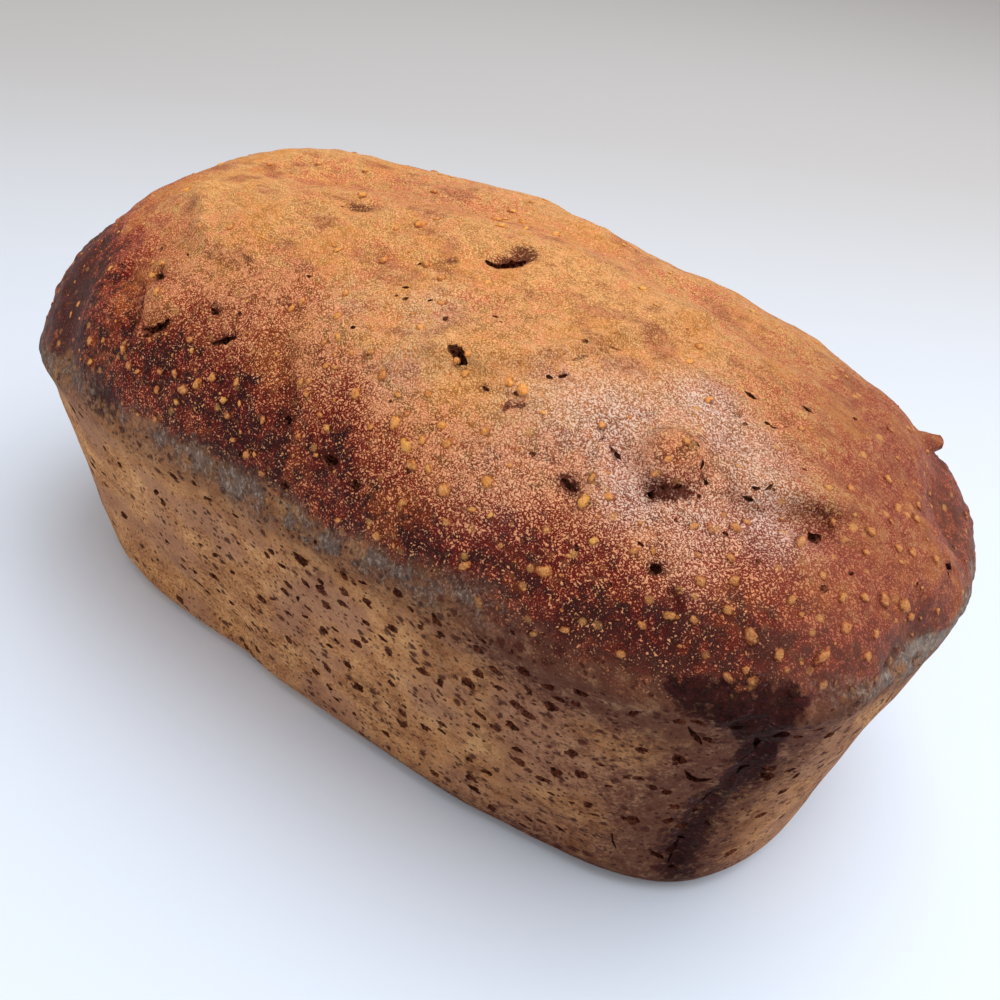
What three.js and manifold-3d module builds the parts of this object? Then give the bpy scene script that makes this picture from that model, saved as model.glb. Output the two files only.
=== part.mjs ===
// A gluten-free loaf that was baked in a loaf tin.
// The tin left four smooth, slightly leaning walls and a flat underside. Above the tin's rim the dough
// rose into a rounded crown, whose browned crust hangs a little over the walls. The crust has folds,
// torn holes, one large blister, a small nub and pale swollen grains, and the walls have open pores.
// The whole loaf is one solid. Millimetres, +Z up, +X along the loaf.

import * as THREE from "three";
import { mergeVertices } from "three/addons/utils/BufferGeometryUtils.js";
import Module from "manifold-3d";

const wasm = await Module();
wasm.setup();

// Driving dimensions of the loaf, in millimetres and degrees
const rimLength = 215; // along the loaf, where crown and walls meet
const rimWidth = 115;
const rimHeight = 56.6; // at the middle of the loaf
const rimClimb = 3.7; // how much higher the rim stands at the +X end than at the middle
const endLean = 11.6; // the end walls lean inwards towards the base
const sideLean = 9.1;
const bottomEdge = 5.6; // radius of the edge round the underside
const crownRise = 45.9; // from the rim up to the top of the crown
const crownDrop = 3.5; // how much lower the crown ends at the +X end than its rise says
const crownShift = 20; // the top of the crown lies this far towards -X

// How square the outline is: 2 is an ellipse, more is squarer
const endSquareness = 4.2;
const sideSquareness = 2.5;
const topSquareness = 2;
const crownFullness = 0.91; // below 1 the crown is fuller than an ellipse along the loaf

// The crust hangs over the walls by out, a little more at the +X end. Its height above the rim and
// its depth below are where it has mostly faded. It is waved along, across and aslant.
const lip = { out: 0.6, outAtEnd: 0.7, above: 6, below: 2.8, lowestLevel: 0.6, growsFrom: 20 };
const lipWaves = { height: 0.5, along: 8.5, across: 6.1, aslant: 4.3 };

// The burnt and torn band down the corner between the near long wall and the +X end wall: ribs run
// across it, and its foot is fuller than the tin's corner
const burntCorner = {
  along: 93,
  across: -38,
  halfWidth: 9,
  ribHeight: 0.54,
  ribsApart: 2.75,
  ribsAslant: 2.7,
  begins: 0.08, // the levels between which the ribs set in, and where they stop
  full: 0.25,
  ends: 1.02,
};
const cornerFoot = { x: 84, y: -35, z: 6, swell: 1.3, halfWidth: 13, fullLevel: 0.06 };

// Broad swells of the crust: each is a long wave across the crown, bent a little
const swells = [
  { height: 0.45, length: 71, heading: 25, start: 0.4 },
  { height: 0.35, length: 43, heading: 110, start: 2.1 },
  { height: 0.3, length: 31, heading: 64, start: 4.0 },
  { height: 0.2, length: 19, heading: 155, start: 1.2 },
];
const swellBend = { amount: 0.8, length: 19 };
const crownStarts = { from: 0.98, full: 1.1 }; // the levels between which the crown's relief sets in

// The tin walls sank a little as the loaf cooled: a slow and a quick pattern of dents, which set in and
// fade between the levels given
const slowDents = { height: 0.5, along: 24, up: 15, across: 30, start: 1.1 };
const quickDents = { height: 0.22, along: 9, alongUp: 7, across: 8, acrossUp: 11 };
const dentLevels = { from: 0.12, full: 0.4, fade: 0.8, gone: 1 };

// Folds (height above 0) and creases (height below 0) of the crust, through points of the plan
const folds = [
  { height: 1.5, width: 4.0, through: [[20, -36], [27, -33], [35, -27], [38, -21], [44, -10], [48, 2]] },
  { height: 1.0, width: 4.5, through: [[2, -39], [12, -38], [20, -36]] },
  { height: -1.0, width: 5.0, through: [[-14, -42], [-9, -46], [-5, -50]] },
  { height: 1.3, width: 3.2, through: [[-56, -23], [-47, -29], [-42, -34], [-31, -34]] },
  { height: -1.8, width: 3.2, through: [[-56, -42], [-50, -45], [-44, -48]] },
  { height: 2.0, width: 3.4, through: [[74, -25], [80, -20], [86, -16]] },
  { height: -1.8, width: 4.5, through: [[80, -24], [86, -19]] },
  { height: -1.2, width: 3.4, through: [[49, -33], [53, -32], [56, -35]] },
  { height: -1.2, width: 3.4, through: [[63, -15], [67, -12], [71, -8]] },
  { height: 0.9, width: 6.0, through: [[30, -50], [52, -49], [72, -42]] },
];

// Holes torn in the crust: place in the plan, length, width, depth, and how the length is turned
const crustHoles = [
  { x: 13, y: -10, long: 8.5, wide: 5.5, deep: 4.5, turned: 15 },
  { x: -22, y: -13, long: 4.5, wide: 3.0, deep: 2.0, turned: 40 },
  { x: -43, y: -48, long: 6.5, wide: 4.0, deep: 3.5, turned: -35 },
  { x: -61, y: -41, long: 4.5, wide: 3.0, deep: 2.5, turned: 10 },
  { x: -24, y: -47, long: 5.5, wide: 2.4, deep: 2.0, turned: 5 },
  { x: -31, y: -44, long: 4.0, wide: 2.0, deep: 1.5, turned: -20 },
  { x: -3, y: -52, long: 3.4, wide: 3.0, deep: 2.0, turned: 0 },
  { x: 9, y: -53, long: 3.0, wide: 2.4, deep: 1.8, turned: 0 },
  { x: 22, y: -35, long: 5.5, wide: 2.6, deep: 2.6, turned: -45 },
  { x: 51, y: -41, long: 6.5, wide: 4.2, deep: 1.8, turned: 10 },
  { x: 64, y: -7, long: 3.6, wide: 2.0, deep: 1.6, turned: 0 },
  { x: 70, y: -8, long: 4.0, wide: 2.2, deep: 1.8, turned: 30 },
  { x: 73, y: -27, long: 5.5, wide: 3.2, deep: 2.4, turned: 20 },
  { x: 86, y: -22, long: 4.4, wide: 3.2, deep: 2.4, turned: 0 },
  { x: 68, y: -44, long: 4.2, wide: 2.4, deep: 2.0, turned: 15 },
];

// The blister: a puffed dome of crust with a dark crevice under its near side
const blister = { x: 62, y: -30, radius: 5.4, thickness: 4.3, raised: 2.4 };
const crevice = { x: 64, y: -34, long: 8, wide: 2.4, deep: 2.4, turned: 5 };

// The nub: a little horn of dough on the far side near the +X end
const nub = { x: 88.5, y: 32, heading: 36, lift: 6, length: 3.6, halfWidth: 2.0, halfHeight: 1.6, buried: 2.6 };

// Pale grains that swelled out of the crust, and how likely they are all over, low on the near side
// and towards the +X end
const grains = { count: 84, largest: 1.55, smallest: 0.95, roundness: 0.95, flattest: 0.8, sunk: 0.35, clear: 1.5 };
const grainRoom = { apart: 5, lowest: 1.05, highest: 1.95 };
const grainShare = { base: 0.12, nearSide: 0.55, plusEnd: 0.33 };
const grainFades = { lowLevel: 1.3, highLevel: 1.9, farSide: -20, nearSide: 45, middle: 30, plusEnd: 100 };

// Pores that opened in the walls, by half their length, likeliest at the +X end
const pores = { count: 58, longest: 2.2, shortest: 1.0, flatness: 0.55, depth: 1.1 };
const poreRoom = { apart: 5.5, lowest: 0.14, highest: 0.84, shareAtMinusEnd: 0.45 };

// How finely the skin is divided
const columns = 88;
const crownRings = 20;
const lastRing = 0.985; // the share of the way to the top at which the rings end in a point
const wallHeights = [0.16, 0.34, 0.52, 0.68, 0.82, 0.92];
const edgeSteps = 2;
const rimSamples = 4000;
const halvings = 40;
const scatterDirections = 720;

const degree = Math.PI / 180;
const halfLength = rimLength / 2;
const halfWidth = rimWidth / 2;

// A seeded stream of numbers between 0 and 1
function seededStream(seed) {
  let state = seed;
  return () => {
    state = (state + 0x6d2b79f5) | 0;
    let mixed = Math.imul(state ^ (state >>> 15), 1 | state);
    mixed = (mixed + Math.imul(mixed ^ (mixed >>> 7), 61 | mixed)) ^ mixed;
    return ((mixed ^ (mixed >>> 14)) >>> 0) / 4294967296;
  };
}

function mix(from, to, share) {
  return from + (to - from) * share;
}

// 1 at the middle, falling smoothly to 0 with distance
function bell(distance, width) {
  return Math.exp(-((distance / width) ** 2));
}

// The point of a squared ellipse in a direction: |x/a|^p + |y/b|^q = 1, found by halving
function outlinePoint(a, b, p, q, direction) {
  const along = Math.cos(direction);
  const across = Math.sin(direction);
  let low = 0.9;
  let high = 1.5;
  for (let step = 0; step < halvings; step += 1) {
    const reach = (low + high) / 2;
    const level = Math.abs(reach * along) ** p + Math.abs(reach * across) ** q;
    if (level < 1) low = reach;
    else high = reach;
  }
  return [a * low * along, b * low * across];
}

// The tin's outline at a height up the wall, with the rounded edge at the underside
function wallHalfSizes(height) {
  const below = rimHeight - height;
  const inEdge = Math.max(bottomEdge - height, 0);
  const edge = bottomEdge - Math.sqrt(bottomEdge ** 2 - inEdge ** 2);
  const a = halfLength - below * Math.tan(endLean * degree) - edge;
  const b = halfWidth - below * Math.tan(sideLean * degree) - edge;
  return [a, b];
}

// The crown's outline at an angle up from the rim: half sizes, squareness and shift along X
function crownOutline(angle) {
  const shrink = Math.cos(angle);
  const lifted = Math.sin(angle);
  return {
    a: halfLength * shrink ** crownFullness,
    b: halfWidth * shrink,
    p: mix(endSquareness, topSquareness, lifted),
    q: mix(sideSquareness, topSquareness, lifted),
    shift: -crownShift * (1 - shrink),
  };
}

function crownHeight(angle, x) {
  const lifted = Math.sin(angle);
  return rimHeight + crownRise * lifted + ((rimClimb - crownDrop * lifted) * x) / halfLength;
}

// A point of the smooth loaf. Level 0 to 1 goes up the wall, 1 to 2 goes from the rim to the top.
function smoothPoint(direction, level) {
  if (level <= 1) {
    const height = level * rimHeight;
    const [a, b] = wallHalfSizes(height);
    const [x, y] = outlinePoint(a, b, endSquareness, sideSquareness, direction);
    return new THREE.Vector3(x, y, height + (level * rimClimb * x) / halfLength);
  }
  const angle = (level - 1) * 90 * degree;
  const ring = crownOutline(angle);
  const [x, y] = outlinePoint(ring.a, ring.b, ring.p, ring.q, direction);
  return new THREE.Vector3(x + ring.shift, y, crownHeight(angle, x + ring.shift));
}

function smoothNormal(direction, level) {
  const step = 0.004;
  const low = Math.min(Math.max(level - step, 0), 2 - 3 * step);
  const around = smoothPoint(direction + step, low + step).sub(smoothPoint(direction - step, low + step));
  const upwards = smoothPoint(direction, low + 2 * step).sub(smoothPoint(direction, low));
  return around.cross(upwards).normalize();
}

// The direction and level of the crown above a place in the plan
function crownPlace(x, y) {
  let low = 0;
  let high = 90 * degree;
  for (let step = 0; step < halvings; step += 1) {
    const angle = (low + high) / 2;
    const ring = crownOutline(angle);
    const level = Math.abs((x - ring.shift) / ring.a) ** ring.p + Math.abs(y / ring.b) ** ring.q;
    if (level < 1) low = angle;
    else high = angle;
  }
  const ring = crownOutline(low);
  const direction = Math.atan2(y / ring.b, (x - ring.shift) / ring.a);
  return { direction, level: 1 + low / (90 * degree) };
}

function distanceToPath(x, y, path) {
  let nearest = Infinity;
  for (let index = 1; index < path.length; index += 1) {
    const [x0, y0] = path[index - 1];
    const [x1, y1] = path[index];
    const length2 = (x1 - x0) ** 2 + (y1 - y0) ** 2;
    const share = THREE.MathUtils.clamp(((x - x0) * (x1 - x0) + (y - y0) * (y1 - y0)) / length2, 0, 1);
    nearest = Math.min(nearest, Math.hypot(x - mix(x0, x1, share), y - mix(y0, y1, share)));
  }
  return nearest;
}

// How far the crown's crust stands out from the smooth crown
function crownRelief(point, level) {
  const onCrown = THREE.MathUtils.smoothstep(level, crownStarts.from, crownStarts.full);
  let height = 0;
  for (const wave of swells) {
    const run = point.x * Math.cos(wave.heading * degree) + point.y * Math.sin(wave.heading * degree);
    const bend = swellBend.amount * Math.sin((point.z + point.y) / swellBend.length + wave.start);
    height += wave.height * Math.sin((run / wave.length) * 2 * Math.PI + wave.start + bend);
  }
  for (const fold of folds) {
    height += fold.height * bell(distanceToPath(point.x, point.y, fold.through), fold.width);
  }
  return height * onCrown;
}

// The overhanging lip of the crust at the rim: it swells slowly above and ends abruptly below
function lipRelief(point, level) {
  const above = point.z - rimHeight - (rimClimb * point.x) / halfLength;
  const band = bell(above, above > 0 ? lip.above : lip.below);
  const towardsEnd = THREE.MathUtils.smoothstep(point.x, lip.growsFrom, halfLength);
  const wave = Math.sin(point.x / lipWaves.along) + Math.sin(point.y / lipWaves.across + 1);
  const slantWave = Math.sin((point.x - point.y) / lipWaves.aslant);
  const out = mix(lip.out, lip.outAtEnd, towardsEnd) + (lipWaves.height * (wave + slantWave)) / 3;
  return level < lip.lowestLevel ? 0 : out * band;
}

// Ribs of torn crust down the burnt corner, and its full foot
function cornerRelief(point, level) {
  const away = Math.hypot(point.x - burntCorner.along, point.y - burntCorner.across);
  const setIn = THREE.MathUtils.smoothstep(level, burntCorner.begins, burntCorner.full);
  const onWall = level < burntCorner.ends ? setIn : 0;
  const straight = Math.sin(point.z / burntCorner.ribsApart + point.x);
  const slant = Math.sin((point.y - point.z) / burntCorner.ribsAslant);
  const ribs = burntCorner.ribHeight * (straight + slant) * bell(away, burntCorner.halfWidth) * onWall;
  const footAway = Math.hypot(point.x - cornerFoot.x, point.y - cornerFoot.y, point.z - cornerFoot.z);
  const onFoot = THREE.MathUtils.smoothstep(level, 0, cornerFoot.fullLevel);
  return ribs + cornerFoot.swell * bell(footAway, cornerFoot.halfWidth) * onFoot;
}

// The dents of the tin walls, none near the rim and the underside
function wallRelief(point, level) {
  const { x, y, z } = point;
  const setIn = THREE.MathUtils.smoothstep(level, dentLevels.from, dentLevels.full);
  const onWall = setIn * (1 - THREE.MathUtils.smoothstep(level, dentLevels.fade, dentLevels.gone));
  const slow = Math.sin(x / slowDents.along + slowDents.start) * Math.sin(z / slowDents.up + y / slowDents.across);
  const quickAlong = Math.sin(x / quickDents.along + z / quickDents.alongUp);
  const quickAcross = Math.sin(y / quickDents.across - z / quickDents.acrossUp);
  return (slowDents.height * slow + quickDents.height * quickAlong * quickAcross) * onWall;
}

function skinPoint(direction, level) {
  const point = smoothPoint(direction, level);
  const out = crownRelief(point, level) + lipRelief(point, level);
  const total = out + cornerRelief(point, level) + wallRelief(point, level);
  return point.addScaledVector(smoothNormal(direction, level), total);
}

// Directions that divide the rim into equal lengths
function evenDirections(count) {
  const lengths = [0];
  let before = smoothPoint(0, 1);
  for (let index = 1; index <= rimSamples; index += 1) {
    const here = smoothPoint((index / rimSamples) * 2 * Math.PI, 1);
    lengths.push(lengths[index - 1] + here.distanceTo(before));
    before = here;
  }
  const directions = [];
  let index = 0;
  for (let column = 0; column < count; column += 1) {
    const wanted = (lengths[rimSamples] * column) / count;
    while (lengths[index + 1] < wanted) index += 1;
    const share = (wanted - lengths[index]) / (lengths[index + 1] - lengths[index]);
    directions.push(((index + share) / rimSamples) * 2 * Math.PI);
  }
  return directions;
}

// The levels of the rings of points, from the flat underside's edge to just below the top
function ringLevels() {
  const levels = [0];
  for (let step = 1; step <= edgeSteps; step += 1) {
    const turn = (step / edgeSteps) * 90 * degree;
    levels.push((bottomEdge * (1 - Math.cos(turn))) / rimHeight);
  }
  levels.push(...wallHeights);
  for (let ring = 0; ring < crownRings; ring += 1) {
    levels.push(1 + (ring / crownRings) * lastRing);
  }
  return levels;
}

function loafSkin() {
  const directions = evenDirections(columns);
  const levels = ringLevels();
  const positions = [0, 0, 0];
  for (const level of levels) {
    for (const direction of directions) positions.push(...skinPoint(direction, level).toArray());
  }
  const top = new THREE.Vector3(-crownShift, 0, crownHeight(90 * degree, -crownShift));
  positions.push(top.x, top.y, top.z + crownRelief(top, 2));

  const at = (ring, column) => 1 + ring * columns + (column % columns);
  const apex = 1 + levels.length * columns;
  const faces = [];
  for (let column = 0; column < columns; column += 1) {
    faces.push(0, at(0, column + 1), at(0, column));
    for (let ring = 0; ring + 1 < levels.length; ring += 1) {
      const corners = [at(ring, column), at(ring, column + 1), at(ring + 1, column + 1), at(ring + 1, column)];
      faces.push(corners[0], corners[1], corners[2], corners[0], corners[2], corners[3]);
    }
    faces.push(at(levels.length - 1, column), at(levels.length - 1, column + 1), apex);
  }
  const geometry = new THREE.BufferGeometry();
  geometry.setAttribute("position", new THREE.Float32BufferAttribute(positions, 3));
  geometry.setIndex(faces);
  return geometry;
}

function solidOf(geometry) {
  const bare = geometry.clone();
  bare.deleteAttribute("normal");
  bare.deleteAttribute("uv");
  const merged = mergeVertices(bare, 1e-5);
  const triVerts = Uint32Array.from(merged.index.array);
  const vertProperties = Float32Array.from(merged.attributes.position.array);
  return new wasm.Manifold(new wasm.Mesh({ numProp: 3, vertProperties, triVerts }));
}

function geometryOf(solid) {
  const mesh = solid.getMesh();
  const geometry = new THREE.BufferGeometry();
  geometry.setAttribute("position", new THREE.Float32BufferAttribute(mesh.vertProperties, 3));
  geometry.setIndex(Array.from(mesh.triVerts));
  return geometry;
}

// A rounded lump with three half sizes: along, across and out of the skin it sits on
function lump(halfSizes, centre, out, along, detail) {
  const side = new THREE.Vector3().crossVectors(out, along).normalize();
  const forward = new THREE.Vector3().crossVectors(side, out).normalize();
  const place = new THREE.Matrix4().makeBasis(forward, side, out).setPosition(centre);
  const geometry = new THREE.IcosahedronGeometry(1, detail);
  geometry.scale(...halfSizes);
  geometry.applyMatrix4(place);
  return solidOf(geometry);
}

function turnedAlong(turned) {
  return new THREE.Vector3(Math.cos(turned * degree), Math.sin(turned * degree), 0);
}

// A lump on the crown, sunk so that its top or its bottom ends where it should
function crownLump(feature, thickness, offset, detail) {
  const { direction, level } = crownPlace(feature.x, feature.y);
  const out = smoothNormal(direction, level);
  const centre = skinPoint(direction, level).addScaledVector(out, offset);
  const halfSizes = [feature.long / 2, feature.wide / 2, thickness];
  return lump(halfSizes, centre, out, turnedAlong(feature.turned), detail);
}

function cutCrustHoles(solid) {
  let result = solid;
  for (const hole of [...crustHoles, crevice]) {
    result = result.subtract(crownLump(hole, hole.deep, 0.2, 1));
  }
  return result;
}

function addBlister(solid) {
  const size = 2 * blister.radius;
  const dome = { x: blister.x, y: blister.y, long: size, wide: size, turned: 0 };
  return solid.add(crownLump(dome, blister.thickness, blister.raised - blister.thickness, 1));
}

function addNub(solid) {
  const { direction, level } = crownPlace(nub.x, nub.y);
  const flat = Math.cos(nub.lift * degree);
  const out = turnedAlong(nub.heading).multiplyScalar(flat).setZ(Math.sin(nub.lift * degree));
  const centre = skinPoint(direction, level).addScaledVector(out, nub.length / 2 - nub.buried);
  const halfSizes = [nub.halfHeight, nub.halfWidth, nub.length / 2 + nub.buried / 2];
  return solid.add(lump(halfSizes, centre, out, new THREE.Vector3(0, 0, 1), 1));
}

// Grains crowd the lower crown on the near side and at the +X end, and thin out elsewhere
function grainDensity(point, level) {
  const low = 1 - THREE.MathUtils.smoothstep(level, grainFades.lowLevel, grainFades.highLevel);
  const near = THREE.MathUtils.smoothstep(-point.y, grainFades.farSide, grainFades.nearSide);
  const end = THREE.MathUtils.smoothstep(point.x, grainFades.middle, grainFades.plusEnd);
  return grainShare.base + grainShare.nearSide * low * near + grainShare.plusEnd * end;
}

function clearOfHoles(point) {
  const keepOut = [...crustHoles, crevice, { x: blister.x, y: blister.y, long: 2 * blister.radius }];
  return keepOut.every((hole) => Math.hypot(point.x - hole.x, point.y - hole.y) > hole.long / 2 + grains.clear);
}

function addGrains(solid) {
  const random = seededStream(417);
  const directions = evenDirections(scatterDirections);
  const placed = [];
  let result = solid;
  while (placed.length < grains.count) {
    const direction = directions[Math.floor(random() * scatterDirections)];
    const level = mix(grainRoom.lowest, grainRoom.highest, random());
    const point = smoothPoint(direction, level);
    const ring = crownOutline((level - 1) * 90 * degree);
    const fair = (ring.a + ring.b) / (halfLength + halfWidth);
    const wanted = random() < grainDensity(point, level) * fair;
    const apart = placed.every((other) => other.distanceTo(point) > grainRoom.apart);
    if (!wanted || !apart || !clearOfHoles(point)) continue;
    const radius = mix(grains.largest, grains.smallest, placed.length / grains.count);
    const out = smoothNormal(direction, level);
    const centre = skinPoint(direction, level).addScaledVector(out, -radius * grains.sunk);
    const squash = mix(grains.flattest, 1, random());
    const halfSizes = [radius, radius * squash, radius * grains.roundness];
    result = result.add(lump(halfSizes, centre, out, turnedAlong(360 * random()), 0));
    placed.push(point);
  }
  return result;
}

// Pores lie on the walls, drawn out along the wall, and crowd towards the +X end
function cutPores(solid) {
  const random = seededStream(83);
  const directions = evenDirections(scatterDirections);
  const placed = [];
  let result = solid;
  while (placed.length < pores.count) {
    const direction = directions[Math.floor(random() * scatterDirections)];
    const level = mix(poreRoom.lowest, poreRoom.highest, random());
    const point = smoothPoint(direction, level);
    const crowd = mix(poreRoom.shareAtMinusEnd, 1, THREE.MathUtils.smoothstep(point.x, -halfLength, halfLength));
    const apart = placed.every((other) => other.distanceTo(point) > poreRoom.apart);
    if (random() > crowd || !apart) continue;
    const share = placed.length / pores.count;
    const half = mix(pores.longest, pores.shortest, share);
    const out = smoothNormal(direction, level);
    const along = smoothPoint(direction + 0.01, level).sub(smoothPoint(direction - 0.01, level));
    const halfSizes = [half, half * pores.flatness, pores.depth];
    result = result.subtract(lump(halfSizes, skinPoint(direction, level), out, along, 0));
    placed.push(point);
  }
  return result;
}

// Moves the loaf so that it stands on z = 0 with the middle of its plan at the origin
function centred(geometry) {
  geometry.computeBoundingBox();
  const { min, max } = geometry.boundingBox;
  return geometry.translate(-(min.x + max.x) / 2, -(min.y + max.y) / 2, -min.z);
}

const torn = cutPores(cutCrustHoles(solidOf(loafSkin())));
const whole = addGrains(addNub(addBlister(torn)));

const crustBrown = new THREE.MeshStandardMaterial({ color: 0x9a5f38, roughness: 0.75, metalness: 0 });
const loaf = new THREE.Mesh(centred(geometryOf(whole)), crustBrown);
loaf.name = "loaf";

const model = new THREE.Group();
model.add(loaf);

export default model;
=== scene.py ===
"""Dresses a gluten-free loaf that was baked in a loaf tin.

The loaf is one closed skin worked out with numpy: four leaning tin walls, a flat underside and a
rounded crown. Folds, lumps, a blister and an uneven lip are relief in the skin. Torn holes and
pores are cut out of it, and grains that swelled through the crust lie on it as a second mesh.
The loaf's own frame is in millimetres, +X along the loaf and +Z up, with the middle of the tin's
rim at the origin. The scene is in metres.
"""

import logging
import math
from dataclasses import dataclass, field
from enum import Enum
from functools import partial
from itertools import product

import bpy
import numpy as np
from mathutils import Matrix, Vector


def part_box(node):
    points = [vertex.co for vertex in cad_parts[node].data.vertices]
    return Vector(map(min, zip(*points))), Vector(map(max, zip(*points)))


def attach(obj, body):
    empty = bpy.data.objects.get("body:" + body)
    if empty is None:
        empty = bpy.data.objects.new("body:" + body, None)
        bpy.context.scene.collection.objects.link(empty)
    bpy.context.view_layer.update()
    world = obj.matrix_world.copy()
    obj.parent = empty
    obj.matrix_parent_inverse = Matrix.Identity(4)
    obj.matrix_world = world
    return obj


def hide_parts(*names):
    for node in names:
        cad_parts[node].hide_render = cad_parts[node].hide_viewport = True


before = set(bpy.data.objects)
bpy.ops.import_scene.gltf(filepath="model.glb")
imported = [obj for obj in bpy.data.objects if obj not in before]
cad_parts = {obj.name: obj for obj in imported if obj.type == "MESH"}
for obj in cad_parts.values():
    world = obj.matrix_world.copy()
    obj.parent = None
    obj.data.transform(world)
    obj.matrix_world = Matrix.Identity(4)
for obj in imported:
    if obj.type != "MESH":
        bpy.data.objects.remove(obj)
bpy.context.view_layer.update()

Array = np.ndarray
Range = tuple[float, float]
Triple = tuple[float, float, float]
Socket = bpy.types.NodeSocket
Pixels = tuple[tuple[int, int], ...]
Spots = tuple[tuple[int, int, float, float], ...]
Stops = tuple[tuple[float, str], ...]

log = logging.getLogger("loaf")

MM = 0.001
DEGREE = math.pi / 180
UP = np.array([0.0, 0.0, 1.0])
SHARP = 48 * DEGREE  # the edges of holes are sharper than this, and the crust is smoother


class Carving(Enum):
    """How a second solid changes the first."""

    CUT = "DIFFERENCE"
    JOIN = "UNION"


class Layer(Enum):
    """The values that the skin carries from its shape to its finish."""

    BAKE = "bake"  # 0 pale golden, 1 nearly black
    CROWN = "crown"  # 0 on the tin walls, 1 on the crown
    ASH = "ash"  # the grey band where crust and wall meet
    CHAR = "char"  # burnt patches
    BLOOM = "bloom"  # pinkish-white on the blister tops: painted highlight, with some dust
    ROSE = "rose"  # 0 golden crust, 1 the duller crust of the ends
    CRISP = "crisp"  # how strongly dark hollows and pale blisters stand apart, partly as painted shade and light
    SHADE = "shade"  # above 0 pale flakes and lips, below 0 dark stains and painted shade in grooves, under bumps and round holes
    RIDGE = "ridge"  # 0 in the hollows of the crust's relief, 1 on its ridges; browns the hollows, partly as painted shade
    SCORCH_AND_SHADE = "scorch"  # the redder, darker parts of the tin walls: scorched, and painted shade under the overhanging crust
    POROUS = "porous"  # how crowded the small pores of the tin walls are
    GRAIN = "grain"  # 0 at a grain's foot, 1 at its top
    TINT = "tint"  # which colour a grain has
    TORN = "torn"  # 1 on the faces inside holes and pores


def ease(value: Array, low: float, high: float) -> Array:
    """Rises smoothly from 0 at low to 1 at high."""
    share = np.clip((value - low) / (high - low), 0, 1)
    return share * share * (3 - 2 * share)


def bell(distance: Array, width: float) -> Array:
    """1 where the distance is 0, falling smoothly to 0."""
    return np.exp(-((distance / width) ** 2))


def unit(vectors: Array) -> Array:
    """The vectors at length 1."""
    return vectors / np.maximum(np.linalg.norm(vectors, axis=-1, keepdims=True), 1e-12)


@dataclass(frozen=True)
class Noise:
    """Smooth seeded noise in space, on a lattice of random slopes."""

    seed: int
    primes: tuple[int, int, int] = (73856093, 19349663, 83492791)
    stirs: tuple[int, int] = (0x2C1B3C6D, 0x297A2D39)

    def draws(self, cells: Array, stream: int) -> Array:
        """A fixed random number for each lattice cell, found by mixing the bits of its indices.

        Args:
            cells: whole numbers, shape (..., 3).
            stream: which of several independent numbers is wanted.

        Returns:
            Numbers from -1 to 1, shape (...).
        """
        keys = (cells.astype(np.int64) * np.array(self.primes)).sum(-1)
        mixed = (keys + 1013 * self.seed + 7919 * stream).astype(np.uint32)
        for stir in self.stirs:
            mixed = (mixed ^ (mixed >> np.uint32(15))) * np.uint32(stir)
        mixed ^= mixed >> np.uint32(13)
        return mixed / 2.0**31 - 1

    def waves(self, points: Array, size: float) -> Array:
        """Gradient noise: at each lattice corner a random slope, blended smoothly between corners.

        Args:
            points: places in mm, shape (N, 3).
            size: the lattice spacing in mm.

        Returns:
            Heights from about -1 to 1, shape (N,).
        """
        scaled = points / size
        cell = np.floor(scaled)
        inside = scaled - cell
        fade = inside**3 * (inside * (inside * 6 - 15) + 10)
        total = np.zeros(len(points))
        for corner in product((0, 1), repeat=3):
            offset = np.array(corner)
            slopes = np.stack([self.draws(cell + offset, axis) for axis in range(3)], -1)
            share = np.where(offset == 1, fade, 1 - fade).prod(-1)
            total += share * (slopes * (inside - offset)).sum(-1)
        return 1.5 * total

    def mixed(self, points: Array, waves: tuple[Range, ...]) -> Array:
        """The sum of waves, each with its height and its size in mm."""
        return sum(height * self.waves(points, size) for height, size in waves)

    def cells(self, points: Array, size: float) -> Array:
        """Distance to the nearest of the points scattered one in each lattice cell.

        Args:
            points: places in mm, shape (N, 3).
            size: the lattice spacing in mm.

        Returns:
            Distances as shares of the spacing, shape (N,).
        """
        scaled = points / size
        cell = np.floor(scaled)
        nearest = np.full(len(points), 9.0)
        for corner in product((-1, 0, 1), repeat=3):
            there = cell + np.array(corner)
            seeds = np.stack([self.draws(there, axis) for axis in range(3)], -1)
            nearest = np.minimum(nearest, np.linalg.norm(there + 0.5 + 0.45 * seeds - scaled, axis=-1))
        return nearest


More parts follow.
